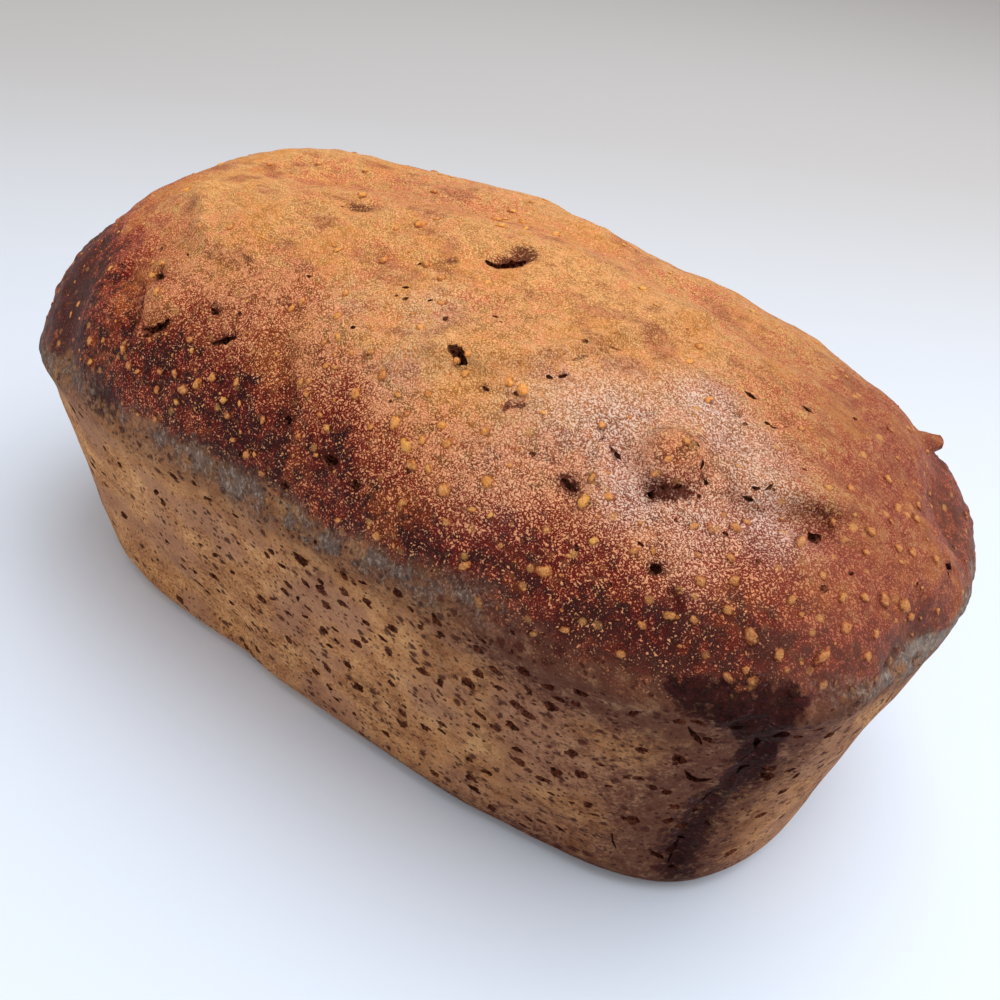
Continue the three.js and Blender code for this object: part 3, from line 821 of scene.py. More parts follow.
    def surface(self, direction: Array, level: Array) -> tuple[Array, Array]:
        """The loaf's skin: the smooth loaf moved out along its normals by all the relief.

        Args:
            direction: angles round the loaf.
            level: levels from 0 to 2.

        Returns:
            The points of the skin and the smooth loaf's normals.
        """
        points, normals = self.form.points(direction, level), self.form.normals(direction, level)
        out = self.crown(points, level) + self.lip(points, level)
        out = out + self.strokes.height(points) + self.tears.height(points)
        out = out + self.tear(points, level) + self.wall(points, level)
        return points + normals * out[:, None], normals


@dataclass
class MeshParts:
    """Vertices and faces of a mesh that is being made, with values for its faces or vertices."""

    vertices: Array
    faces: list[tuple[int, ...]]

    @classmethod
    def joined(cls, parts: list["MeshParts"]) -> "MeshParts":
        """Several meshes as one, their faces counted on from mesh to mesh."""
        starts = np.cumsum([0] + [len(part.vertices) for part in parts]).tolist()
        pairs = [(face, start) for part, start in zip(parts, starts) for face in part.faces]
        faces = [tuple(corner + start for corner in face) for face, start in pairs]
        return cls(np.vstack([part.vertices for part in parts]), faces)

    def to_object(self, name: str) -> bpy.types.Object:
        """Puts the mesh into the scene, in metres.

        Args:
            name: the object's name.

        Returns:
            The new object, at the origin.
        """
        mesh = bpy.data.meshes.new(name)
        mesh.from_pydata((self.vertices * MM).tolist(), [], self.faces)
        made = bpy.data.objects.new(name, mesh)
        bpy.context.scene.collection.objects.link(made)
        return made


def add_layer(mesh: bpy.types.Mesh, layer: Layer, domain: str, values: Array) -> None:
    """Gives a mesh one number for each vertex or face."""
    attribute = mesh.attributes.get(layer.value) or mesh.attributes.new(layer.value, "FLOAT", domain)
    attribute.data.foreach_set("value", values.astype(np.float32))


def vertices_of(mesh: bpy.types.Mesh) -> Array:
    """The vertices of a mesh in mm, shape (N, 3)."""
    flat = np.empty(len(mesh.vertices) * 3, np.float32)
    mesh.vertices.foreach_get("co", flat)
    return flat.reshape(-1, 3).astype(float) / MM


def carve(body: bpy.types.Object, tool: bpy.types.Object, carving: Carving) -> None:
    """Cuts the tool out of the body, or joins it on, and removes the tool.

    Args:
        body: the object that is changed.
        tool: a closed mesh whose lumps don't overlap.
        carving: whether the tool is cut out or joined on.
    """
    modifier = body.modifiers.new(carving.name, "BOOLEAN")
    modifier.operation = carving.value
    modifier.solver = "MANIFOLD"
    modifier.object = tool
    seen = body.evaluated_get(bpy.context.evaluated_depsgraph_get())
    carved = bpy.data.meshes.new_from_object(seen)
    body.modifiers.clear()
    old = body.data
    body.data = carved
    bpy.data.meshes.remove(old)
    bpy.data.meshes.remove(tool.data)


@dataclass(frozen=True)
class Lumps:
    """Many rounded, uneven lumps as one joined mesh: each is a globe of rings and segments."""

    rings: int
    segments: int
    roughness: float

    def globe(self) -> tuple[Array, list[tuple[int, ...]]]:
        """The round lump: points on a unit sphere at even latitudes and longitudes.

        Returns:
            The vertices, shape (V, 3), and the faces, pointing outwards.
        """
        latitude = np.linspace(0, math.pi, self.rings + 1)[1:-1]
        longitude = np.linspace(0, 2 * math.pi, self.segments, endpoint=False)
        ring, turn = np.meshgrid(latitude, longitude, indexing="ij")
        middle = np.stack([np.sin(ring) * np.cos(turn), np.sin(ring) * np.sin(turn), np.cos(ring)], -1)
        vertices = np.vstack([[UP], middle.reshape(-1, 3), [-UP]])
        last = len(vertices) - 1
        faces = []
        for at in range(self.segments):
            after = (at + 1) % self.segments
            faces.append((0, 1 + at, 1 + after))
            for upper in range(len(latitude) - 1):
                top, low = 1 + upper * self.segments, 1 + (upper + 1) * self.segments
                faces.append((top + at, low + at, low + after, top + after))
            bottom = 1 + (len(latitude) - 1) * self.segments
            faces.append((bottom + after, bottom + at, last))
        return vertices, faces

    def build(self, centres: Array, frames: Array, half_sizes: Array, seed: int) -> MeshParts:
        """Copies the globe to every centre, with a bumpy radius and its own half sizes and turn.

        Args:
            centres: shape (N, 3), in mm.
            frames: for each lump three unit axes as rows: along, across and out, shape (N, 3, 3).
            half_sizes: shape (N, 3), in mm.
            seed: for the bumps.

        Returns:
            The joined mesh.
        """
        globe, faces = self.globe()
        draw = np.random.default_rng(seed)
        bumps = 1 + self.roughness * draw.uniform(-1, 1, (len(centres), len(globe), 1))
        local = globe[None] * bumps * half_sizes[:, None, :]
        vertices = np.einsum("nvk,nkd->nvd", local, frames) + centres[:, None, :]
        starts = range(0, len(centres) * len(globe), len(globe))
        joined = [tuple(corner + start for corner in face) for start in starts for face in faces]
        return MeshParts(vertices.reshape(-1, 3), joined)


def frames_on(normals: Array, towards: Array) -> Array:
    """Three unit axes for lumps that lie on a skin: along, across and out.

    Args:
        normals: outward directions, shape (N, 3).
        towards: rough directions of the lumps' length, shape (N, 3).

    Returns:
        The axes as rows, shape (N, 3, 3).
    """
    across = unit(np.cross(normals, towards))
    along = np.cross(across, normals)
    return np.stack([along, across, normals], 1)


@dataclass(frozen=True)
class Sweep:
    """A closed tube of uneven elliptic rings along a path."""

    sides: int
    roughness: float

    def build(self, middles: Array, frames: Array, half_sizes: Array, seed: int) -> MeshParts:
        """Puts a ring at each place: middle + wide cos t across + tall sin t out, with a bumpy radius.

        Args:
            middles: the places, shape (K, 3), in mm.
            frames: for each place the unit axes along, across and out as rows, shape (K, 3, 3).
            half_sizes: the half width and half height of each ring, shape (K, 2), in mm.
            seed: for the bumps.

        Returns:
            The closed tube.
        """
        draw = np.random.default_rng(seed)
        turn = np.arange(self.sides) / self.sides * 2 * math.pi
        bumps = 1 + self.roughness * draw.uniform(-1, 1, (len(middles), self.sides))
        wide = half_sizes[:, :1] * bumps * np.cos(turn)
        tall = half_sizes[:, 1:] * bumps * np.sin(turn)
        across, out = frames[:, 1][:, None], frames[:, 2][:, None]
        rings = middles[:, None] + wide[..., None] * across + tall[..., None] * out
        number = np.arange(len(middles) * self.sides).reshape(len(middles), self.sides)
        after = np.roll(number, -1, axis=1)
        strips = np.stack([number[:-1], after[:-1], after[1:], number[1:]], -1).reshape(-1, 4)
        faces = [tuple(face) for face in strips.tolist()]
        faces += [tuple(number[0, ::-1].tolist()), tuple(number[-1].tolist())]
        return MeshParts(rings.reshape(-1, 3), faces)


@dataclass(frozen=True)
class Scatter:
    """Draws places on the loaf by a density, and keeps them apart."""

    seed: int

    def draw(self, form: LoafForm, levels: tuple[float, float], tries: int) -> tuple[Array, ...]:
        """Random places, spread evenly over the area between two levels.

        Args:
            form: the smooth loaf.
            levels: the lowest and the highest level.
            tries: how many places are drawn before some are dropped for evenness.

        Returns:
            Directions, levels, points, and one more random number for each.
        """
        draw = np.random.default_rng(self.seed)
        direction = form.even_directions(draw.random(tries))
        level = draw.uniform(*levels, tries)
        a, b, _, _, _ = form.ring(level)
        fair = (a + b) / (form.half_length + form.half_width)
        kept = draw.random(tries) < fair
        chance = draw.random(tries)
        points = form.points(direction, level)
        return direction[kept], level[kept], points[kept], chance[kept]

    @staticmethod
    def apart(points: Array, reach: Array, count: int, taken: list[tuple[Array, float]]) -> list[int]:
        """Picks places in turn, each clear of all those picked before.

        Args:
            points: places in order of choice.
            reach: how much room each needs round it.
            count: how many are wanted.
            taken: places that are taken already, each with its reach, to which the picked are added.

        Returns:
            The indices of the places that were picked.
        """
        room = np.empty((len(taken) + count, 4))
        used = len(taken)
        for at, (place, size) in enumerate(taken):
            room[at] = (*place, size)
        picked = []
        for index, place in enumerate(points):
            gaps = np.linalg.norm(room[:used, :3] - place, axis=1) - room[:used, 3]
            if used and gaps.min() < reach[index]:
                continue
            room[used] = (*place, reach[index])
            used += 1
            picked.append(index)
            if len(picked) == count:
                break
        taken.extend((points[index], reach[index]) for index in picked)
        return picked


@dataclass
class LoafSkin:
    """The loaf's closed skin, with what is torn out of it and joined to it."""

    form: LoafForm
    relief: CrustRelief
    camera: PhotoCamera
    cells_along: int = 288
    cells_across: int = 163
    crowding: float = 0.3
    edge_steps: int = 3
    wall_levels: tuple[float, ...] = (
        0.15, 0.22, 0.29, 0.36, 0.43, 0.5, 0.57, 0.64, 0.71, 0.77, 0.82, 0.86, 0.895, 0.925, 0.95, 0.975,
    )
    tear_sink: float = 0.25
    tear_tube: Sweep = Sweep(12, 0.32)
    tear_seed: int = 500
    pinhole_pixels: Pixels = (
        (405, 285), (396, 294), (405, 298), (430, 300), (495, 319), (501, 326), (342, 205), (282, 362),
        (518, 396), (412, 473), (190, 257), (160, 248), (240, 314), (102, 285), (694, 452), (612, 448),
        (745, 424), (700, 495), (771, 493), (944, 576), (958, 520), (856, 418), (849, 574), (728, 531),
        (584, 350), (293, 396), (308, 275), (391, 402), (446, 322), (533, 455), (577, 548), (760, 560),
        (804, 470), (872, 470), (915, 585), (420, 262), (317, 541), (240, 455), (355, 330), (640, 545),
        (700, 552), (610, 585), (470, 640), (676, 520), (822, 590),
    )
    pinhole_size: Range = (0.4, 0.8)
    pinhole: Lumps = Lumps(4, 7, 0.25)
    pinhole_seed: int = 31
    nub_place: Range = (88.5, 32.0)
    nub_heading: float = 36.0
    nub_lift: float = 6.0
    nub_tube: Sweep = Sweep(16, 0.06)
    nub_seed: int = 77
    nub_flatness: float = 0.8
    nub_rings: tuple[Triple, ...] = (
        (-3.0, 4.6, -1.4), (-1.0, 3.8, -0.8), (0.4, 2.9, -0.2), (1.3, 2.2, 0.1), (2.1, 1.8, 0.3),
        (2.8, 1.6, 0.45), (3.2, 0.9, 0.5),
    )

    def grid(self) -> tuple[Array, Array, list[tuple[int, ...]]]:
        """The skin's grid: a square net laid over the crown and columns down the walls from its edge.

        A point of the square at a share s along and t across lies at level 2 - max(|s|, |t|), in the
        direction where the line from the middle through it meets the square's edge. The edge is
        walked round by the lengths of the loaf's rim. The net is closer on the side that y is below 0.

        Returns:
            The direction and the level of each vertex, and the faces.
        """
        nx, ny = self.cells_along, self.cells_across
        even = np.linspace(-1, 1, ny + 1)
        crowded = even - self.crowding * (1 - even**2)
        s, t = np.meshgrid(np.linspace(-1, 1, nx + 1), crowded, indexing="ij")
        reach = np.maximum(np.abs(s), np.abs(t))
        safe = np.maximum(reach, 1e-9)
        edge_s, edge_t = s / safe, t / safe
        near_end = np.isclose(edge_s, 1)
        left, far_end, right = np.isclose(edge_t, 1), np.isclose(edge_s, -1), np.isclose(edge_t, -1)
        walked = np.select(
            [near_end & (edge_t >= 0), left, far_end, right, near_end],
            [
                edge_t * ny / 2,
                ny / 2 + (1 - edge_s) * nx / 2,
                ny / 2 + nx + (1 - edge_t) * ny / 2,
                ny * 1.5 + nx + (1 + edge_s) * nx / 2,
                ny * 1.5 + nx * 2 + (1 + edge_t) * ny / 2,
            ],
            0.0,
        )
        count = 2 * (nx + ny)
        direction = self.form.even_directions(walked.ravel() / count)
        level = 2 - reach.ravel()
        number = np.arange((nx + 1) * (ny + 1)).reshape(nx + 1, ny + 1)
        corners = (number[:-1, :-1], number[1:, :-1], number[1:, 1:], number[:-1, 1:])
        faces = np.stack([corner.ravel() for corner in corners], -1).tolist()

        upper = np.concatenate([number[-1, :-1], number[:0:-1, -1], number[0, :0:-1], number[:-1, 0]])
        columns = direction[upper]
        turns = np.arange(1, self.edge_steps) / self.edge_steps * 90 * DEGREE
        edge = self.form.bottom_edge * (1 - np.cos(turns)) / self.form.rim_height
        foot = self.form.bottom_edge / self.form.rim_height
        for row in (*self.wall_levels[::-1], foot, *edge[::-1], 0.0):
            lower = len(direction) + np.arange(count)
            direction = np.concatenate([direction, columns])
            level = np.concatenate([level, np.full(count, row)])
            strip = (lower, np.roll(lower, -1), np.roll(upper, -1), upper)
            faces += np.stack(strip, -1).tolist()
            upper = lower
        faces += np.stack([np.full(count, len(direction)), np.roll(upper, -1), upper], -1).tolist()
        return direction, level, [tuple(face) for face in faces]

    def build_skin(self) -> bpy.types.Object:
        """Makes the closed skin before anything is cut: the grid's points moved out by the relief."""
        direction, level, faces = self.grid()
        points, _ = self.relief.surface(direction, level)
        underside_middle = np.array([[0.0, 0.0, 0.0]])
        skin = MeshParts(np.vstack([points, underside_middle]), faces).to_object("loaf_crust")
        add_layer(skin.data, Layer.TORN, "FACE", np.zeros(len(skin.data.polygons)))
        return skin

    def tear_cutter(self) -> MeshParts:
        """Tubes along the tears, just below the crust, leaning under the far side's edge.

        A ring's height falls with the root of its width.
        """
        tears = self.relief.tears
        tubes = []
        for number, tear in enumerate(tears.tears):
            width = tears.widths[number]
            skin, normals = self.relief.surface(tears.directions[number], tears.levels[number])
            frames = frames_on(normals, np.gradient(skin, axis=0))
            lean = tear.under * DEGREE
            across = frames[:, 1] * math.cos(lean) + frames[:, 2] * math.sin(lean)
            out = frames[:, 2] * math.cos(lean) - frames[:, 1] * math.sin(lean)
            leaning = np.stack([frames[:, 0], across, out], 1)
            tall = tear.deep * np.sqrt(width / width.max())
            middles = skin - normals * (tall * self.tear_sink)[:, None]
            half_sizes = np.stack([width / 2, tall], -1)
            tubes.append(self.tear_tube.build(middles, leaning, half_sizes, self.tear_seed + number))
        return MeshParts.joined(tubes)

    def pinhole_cutter(self) -> MeshParts:
        """Small open bubbles at the places where the photograph shows them."""
        draw = np.random.default_rng(self.pinhole_seed)
        direction, level = self.camera.land(np.array(self.pinhole_pixels, float), self.form)
        points, normals = self.relief.surface(direction, level)
        half = draw.uniform(*self.pinhole_size, len(points))
        sizes = np.stack([half, half * draw.uniform(0.45, 0.9, len(half)), half * 0.9], -1)
        heading = draw.normal(size=(len(half), 3)) * [1, 0.4, 0.2]
        return self.pinhole.build(points, frames_on(normals, heading), sizes, self.pinhole_seed + 1)

    def nub(self) -> MeshParts:
        """A blunt little horn of dough: rings that shrink along a path that bends upwards."""
        table = np.array(self.nub_rings)
        heading, lift = self.nub_heading * DEGREE, self.nub_lift * DEGREE
        direction, level = self.form.over_plan(*np.array(self.nub_place)[:, None])
        root, _ = self.relief.surface(direction, level)
        level_out = math.cos(lift)
        out = np.array([math.cos(heading) * level_out, math.sin(heading) * level_out, math.sin(lift)])
        side = unit(np.cross(UP, out))
        top = np.cross(out, side)
        middles = root + table[:, :1] * out + table[:, 2:] * top
        frames = np.tile(np.stack([out, side, top]), (len(table), 1, 1))
        half_sizes = table[:, 1:2] * np.array([1.0, self.nub_flatness])
        return self.nub_tube.build(middles, frames, half_sizes, self.nub_seed)


@dataclass(frozen=True)
class WallPores:
    """Open bubbles in the tin walls: drawn out along the wall, and denser towards the +X end.

    Those that stand out in the photograph are listed with their length in mm. The rest are seeded.
    """

    form: LoafForm
    relief: CrustRelief
    camera: PhotoCamera
    seen: tuple[tuple[int, int, float], ...] = (
        (421, 627, 1.6), (441, 634, 2.2), (484, 639, 2.4), (512, 633, 1.5), (531, 634, 1.7),
        (514, 650, 1.3), (440, 682, 2.2), (468, 683, 3.4), (497, 688, 2.4), (480, 715, 3.0),
        (512, 727, 3.2), (424, 728, 3.0), (514, 705, 2.6), (571, 754, 3.4), (614, 725, 1.3),
        (601, 766, 2.2), (487, 774, 2.6), (543, 779, 3.6), (532, 772, 1.9), (468, 760, 2.2),
        (551, 793, 2.0), (589, 803, 2.2), (626, 779, 1.6), (640, 780, 2.6), (652, 790, 2.4),
        (633, 714, 2.8), (575, 704, 2.2), (549, 687, 3.0), (529, 691, 2.4), (572, 802, 1.6),
        (596, 814, 2.2), (669, 821, 3.0), (608, 787, 2.0), (708, 743, 2.6), (680, 722, 2.6),
        (103, 449, 2.0), (101, 475, 2.2), (106, 462, 1.4), (208, 498, 2.8), (196, 482, 1.8),
        (303, 559, 3.6), (345, 574, 2.6), (323, 580, 2.0), (355, 582, 1.6), (400, 591, 2.6),
        (368, 600, 2.6), (285, 591, 3.2), (299, 597, 2.4), (233, 572, 1.9), (219, 547, 1.6),
        (201, 545, 1.6), (238, 543, 1.5), (229, 524, 1.4), (217, 592, 2.0), (229, 605, 2.0),
        (221, 604, 1.1), (251, 625, 1.9), (288, 640, 2.6), (272, 646, 1.8), (337, 640, 2.0),
        (366, 639, 2.4), (390, 650, 2.2), (392, 684, 2.2), (359, 687, 3.4), (318, 660, 1.6),
        (336, 700, 2.8), (387, 704, 1.8), (404, 707, 1.6), (354, 714, 1.6), (401, 724, 3.2),
        (417, 626, 1.8), (314, 673, 2.6), (412, 608, 2.2), (194, 572, 2.2), (260, 520, 1.6),
        (141, 520, 1.5), (131, 506, 1.3), (160, 535, 1.6),
    )
    count: int = 210
    levels: Range = (0.07, 0.98)
    longest: float = 2.8
    shortest: float = 1.0
    twins: int = 150
    flatness: float = 0.66
    depth: float = 0.7
    waywardness: float = 0.45
    pore: Lumps = Lumps(4, 11, 0.28)
    twin: Lumps = Lumps(4, 6, 0.34)
    tries: int = 14000
    seed: int = 83

    def places(self) -> tuple[Array, Array, Array]:
        """The pores of the photograph, then seeded ones. Few are long: size falls with a draw's power.

        Returns:
            Directions, levels and lengths.
        """
        seen = np.array(self.seen)
        seen[:, 2] *= 0.85
        seen_direction, seen_level = self.camera.land(seen[:, :2], self.form)
        taken: list[tuple[Array, float]] = []
        seen_points = self.form.points(seen_direction, seen_level)
        kept = Scatter.apart(seen_points, seen[:, 2] * 0.5, len(seen), taken)
        direction, level, points, chance = Scatter(self.seed).draw(self.form, self.levels, self.tries)
        x, y, _ = points.T
        near = ease(-y, 10, 40)
        crowd = (0.25 + 0.75 * ease(x, -90, 70)) * (0.55 + 0.45 * near)
        clumps = 0.5 + 1.1 * self.relief.noise.waves(points + 90, 14)
        wanted = np.flatnonzero(chance < crowd * clumps)
        share = np.random.default_rng(self.seed + 1).random(len(wanted))
        length = self.shortest + (self.longest - self.shortest) * share**6
        order = np.argsort(-length)
        wanted, length = wanted[order], length[order]
        picked = Scatter.apart(points[wanted], length / 2 + 0.1, self.count, taken)
        chosen = wanted[picked]
        return (
            np.concatenate([seen_direction[kept], direction[chosen]]),
            np.concatenate([seen_level[kept], level[chosen]]),
            np.concatenate([seen[kept, 2], length[picked]]),
        )

    def build(self) -> tuple[MeshParts, MeshParts]:
        """Cutters for the pores, and smaller ones that widen many of them to one side.

        Returns:
            The two joined cutters, one after the other.
        """
        direction, level, length = self.places()
        skin, normals = self.relief.surface(direction, level)
        draw = np.random.default_rng(self.seed + 2)
        level_way = np.cross(UP, normals) + draw.normal(scale=self.waywardness, size=normals.shape)
        flat = self.flatness * draw.uniform(0.6, 1.5, len(length))
        deep = self.depth * length * draw.uniform(0.4, 0.85, len(length))
        half_sizes = np.stack([length / 2, length / 2 * np.minimum(flat, 1), deep], -1)
        frames = frames_on(normals, level_way)
        pores = self.pore.build(skin, frames, half_sizes, self.seed + 3)
        first = slice(0, self.twins)
        aside = draw.uniform(-0.5, 0.5, (self.twins, 2)) * half_sizes[first, :2] * 1.9
        moved = skin[first] + aside[:, :1] * frames[first, 0] + aside[:, 1:] * frames[first, 1]
        twins = self.twin.build(moved, frames[first], half_sizes[first] * 0.6, self.seed + 4)
        return pores, twins


@dataclass(frozen=True)
class Zones:
    """Where the loaf is golden, brown, burnt, grey or rosy, from each vertex's place."""

    form: LoafForm
    relief: CrustRelief
    strokes: Strokes
    noise: Noise = Noise(5)
    near_side: Range = (30.0, 46.0)  # how far y is below 0 where the near side begins and is full
    plus_end: Range = (88.0, 99.0)  # the x where the +X end begins and is full
    minus_end: Range = (-45.0, -95.0)
    palest: float = 0.03
    rim_reach: float = 18.0
    bake_height: float = 29.0
    bake_shifts: tuple[Triple, ...] = ((-6.5, -25.0, 45.0), (-5.0, 45.0, 95.0), (4.0, -45.0, -95.0))
    bake_wander: tuple[Range, ...] = ((4.0, 24.0), (2.2, 8.0))
    bake_spread: Range = (13.0, 13.0)
    crust_edge: Range = (4.0, 7.4)
    edge_wander: tuple[Range, ...] = ((1.9, 9.0), (1.1, 2.6))
    ash_edge: Range = (3.8, -0.4)
    ash_edge_at_end: float = -2.6
    burnt_spots: tuple[tuple[int, int, float], ...] = (
        (678, 688, 1.6), (692, 692, 2.3), (708, 698, 2.7), (725, 702, 3.0), (742, 706, 3.6),
        (760, 709, 4.2), (778, 708, 3.2), (791, 701, 2.0), (757, 730, 2.8), (771, 741, 2.2),
        (761, 756, 2.6), (752, 776, 2.2),
    )
    patch_middle: Range = (-52.0, 6.0)  # its x and its height above the rim
    patch_size: Range = (9.0, 5.0)
    patch_strength: float = 0.6
    tear_width: float = 4.5
    corner_scorch: float = 12.0
    # Spots of painted sheen on the crown: column, row, radius in mm and strength.
    sheens: Spots = (
        (625, 425, 9.0, 0.9), (705, 400, 6.0, 0.9), (775, 520, 6.0, 0.9), (637, 492, 6.0, 1.2),
        (430, 310, 7.0, 0.3), (560, 400, 9.0, 0.4), (742, 455, 8.0, 0.8), (690, 560, 6.0, 0.3),
        (350, 300, 6.0, 0.2), (500, 470, 9.0, 0.25), (700, 512, 5.0, 0.7), (400, 372, 6.0, 0.3),
    )
    browned: Spots = (
        (200, 245, 13.0, 0.14), (185, 182, 9.0, 0.2), (673, 468, 5.0, 0.38), (400, 372, 7.0, -0.16),
        (500, 325, 8.0, 0.14), (700, 508, 4.5, -0.2), (440, 200, 9.0, 0.12),
    )

    def spots(self, points: Array, table: Spots) -> Array:
        """Soft spots: the sum of strength times a bell of the distance to each spot.

        Args:
            points: places in mm, shape (N, 3).
            table: for each spot its column and row in pixels, its radius in mm and its strength.

        Returns:
            The sum, shape (N,).
        """
        rows = np.array(table)
        middles = self.form.points(*self.strokes.camera.land(rows[:, :2], self.form))
        away = np.linalg.norm(points[:, None] - middles, axis=2)
        return (rows[:, 3] * bell(away, rows[:, 2])).sum(1)

    def bake(self, points: Array) -> Array:
        """How dark the crust is: darkest just above the rim, and paler up the crown.

        The height above the rim sets it. Noise moves the middle of the change, and so do the shifts:
        each rises by so many mm from one x to another.
        """
        x, _, z = points.T
        rise = z - self.form.rim_at(x)
        wander = self.noise.mixed(points, self.bake_wander)
        middle = self.bake_height
        for more, *span in self.bake_shifts:
            middle = middle + more * ease(x, *span)
        middle = middle + wander
        dark = 1 - ease(rise, middle - self.bake_spread[0], middle + self.bake_spread[1])
        end = ease(x, 55, 98)
        bake = (self.palest + (1 - self.palest) * dark) * (1 - 0.25 * end) + 0.42 * end * (1 - dark)
        reach = self.rim_reach + 10 * bell(x - 68, 34)
        rim = 1 - ease((rise + 0.5 * wander) / reach, 0.42, 0.95)
        bake = np.maximum(bake, rim * (1 - 0.2 * ease(x, 88, 102)))
        return np.clip(bake + self.spots(points, self.browned), 0, 1)

    def rim_bands(self, points: Array, wander: Array) -> tuple[Array, Array]:
        """The crown's crust and the grey band below it, from the height above the rim.

        The crust begins higher along the middle of the loaf, and more softly where the near side is
        scorched. The ash lies between its own lower edge and the crust's.

        Args:
            points: places in mm, shape (N, 3).
            wander: the noise that frays the edges, in mm.

        Returns:
            How much of the crust and of the ash there is.
        """
        x, y, z = points.T
        rise = z - self.form.rim_at(x) + wander
        near_long = ease(-y, *self.near_side)
        end = ease(x, *self.plus_end) * (1 - ease(-y, 14, 36))
        bulge = ease(x, -84, -62) - ease(x, 44, 62)
        low, high = self.crust_edge
        edge = low + (high - low) * bulge - 1.8 * bell(x - 11, 9)
        soft = 1.6 + 4.5 * ease(x, 15, 50) * near_long
        crown = ease((rise - edge) / soft, -1, 0.9)
        ash_high, ash_low = self.ash_edge
        ash_edge = ash_high + (ash_low - ash_high) * np.maximum(bell(x, 22), ease(-x, 64, 70))
        ash_edge = ash_edge + (self.ash_edge_at_end - ash_edge) * end
        ash = ease(rise - ash_edge, -4, 1.6) * (1 - ease(rise - edge, -1.6, 3.6))
        ash = ash * (1 - near_long * ease(x, 44, 58))
        # Fuller at the +X end, where its pale grey is partly painted sky light.
        return crown, np.clip(ash * (1 + 0.5 * end), 0, 1.5)

    def char(self, points: Array, wander: Array) -> Array:
        """Burnt dough: spots at the near corner, a patch on the near side, and the torn band."""
        x, y, z = points.T
        rise = z - self.form.rim_at(x)
        spots = np.array(self.burnt_spots)
        burnt = self.form.points(*self.strokes.camera.land(spots[:, :2], self.form))
        corner = np.zeros(len(points))
        for spot, radius in zip(burnt, spots[:, 2]):
            away = (np.linalg.norm(points - spot, axis=1) + 0.7 * wander) / radius
            corner = np.maximum(corner, 1 - ease(away, 0.4, 1.9))
        (middle, middle_rise), (long, tall) = self.patch_middle, self.patch_size
        patch = bell(np.hypot((x - middle) / long, (rise - middle_rise) / tall), 1.0)
        patch = self.patch_strength * patch * ease(-y, *self.near_side)
        tear = bell(self.relief.corner_distance(points) + 0.5 * wander, self.tear_width)
        return np.clip(corner + patch + 0.95 * tear * ease(-rise, -3, 3), 0, 1)

    def scorch(self, points: Array) -> Array:
        """Redder, darker walls: scorched by the torn band, darker at the foot and near side, painted
        shade below the near crust and rim.
        """
        x, y, z = points.T
        rise = z - self.form.rim_at(x)
        near_long = ease(-y, *self.near_side)
        # Painted shade under the overhanging crust of the near side.
        below = ease(x, 40, 72) * ease(rise, -15, 3) * near_long
        foot = 0.5 * (1 - ease(z, 2, 11)) * ease(x, -50, 40)
        scorch = 0.9 * below + foot + 0.45 * ease(x, 0, 75) * near_long
        scorch = scorch + 1.1 * bell(self.relief.corner_distance(points), self.corner_scorch)
        # Painted shade under the lip, just below the rim all round.
        return np.clip(scorch + 0.5 * ease(rise, -11, 1), 0, 1)

    def layers(self, points: Array) -> dict[Layer, Array]:
        """Works out every layer.

        Args:
            points: places in the loaf's own frame, in mm, shape (N, 3).

        Returns:
            The values of each layer.
        """
        x, y, _ = points.T
        wander = self.noise.mixed(points, self.edge_wander)
        crown, ash = self.rim_bands(points, wander)
        porous = 0.2 + 0.6 * ease(x, -85, 20) + 0.4 * ease(x, 20, 80)
        porous = porous * (0.8 + 0.2 * ease(-y, *self.near_side)) + 0.35 * self.noise.waves(points, 15)
        blister = self.relief.domes[0]
        # Painted highlight, with some dust: soft spots where the sheen lies, none on the blister.
        bloom = self.spots(points, self.sheens)
        bloom *= 1 - bell(np.hypot(x - blister.x, y - blister.y), blister.radius)
        _, level, _ = self.form.place_of(points)
        relief = self.relief.crown(points, level) + self.strokes.height(points) - blister.height_at(x, y)
        bake = self.bake(points)
        crisp = ease(bake, -0.25, 0.4) * ease(x, -85, -25)
        crisp = crisp * (1 - ease(x + 0.5 * y, 52, 82))
        near_tear = self.relief.tears.nearness(points, 0.8)
        return {
            Layer.BAKE: bake,
            Layer.CRISP: crisp,
            Layer.CROWN: crown,
            Layer.ASH: ash,
            Layer.CHAR: self.char(points, wander),
            Layer.BLOOM: np.clip(bloom, 0, 1),
            Layer.ROSE: np.maximum(ease(x, 15, 95), 0.4 * ease(x, *self.minus_end)),
            # Dark maroon round the tears, partly painted shade where the crust sinks towards them.
            Layer.SHADE: np.clip(self.strokes.shade(points) - 0.6 * near_tear, -1, 1),
            Layer.RIDGE: np.clip(0.5 + relief / 3.2, 0, 1),
            Layer.SCORCH_AND_SHADE: self.scorch(points),
            Layer.POROUS: np.clip(porous, 0, 1),
        }

    def paint(self, mesh: bpy.types.Mesh, shift: Array) -> None:
        """Writes every layer onto a finished mesh.

        Args:
            mesh: the carved loaf or its grains.
            shift: how far it was moved out of the loaf's own frame, in mm.
        """
        for layer, values in self.layers(vertices_of(mesh) - shift).items():
            add_layer(mesh, layer, "POINT", values)


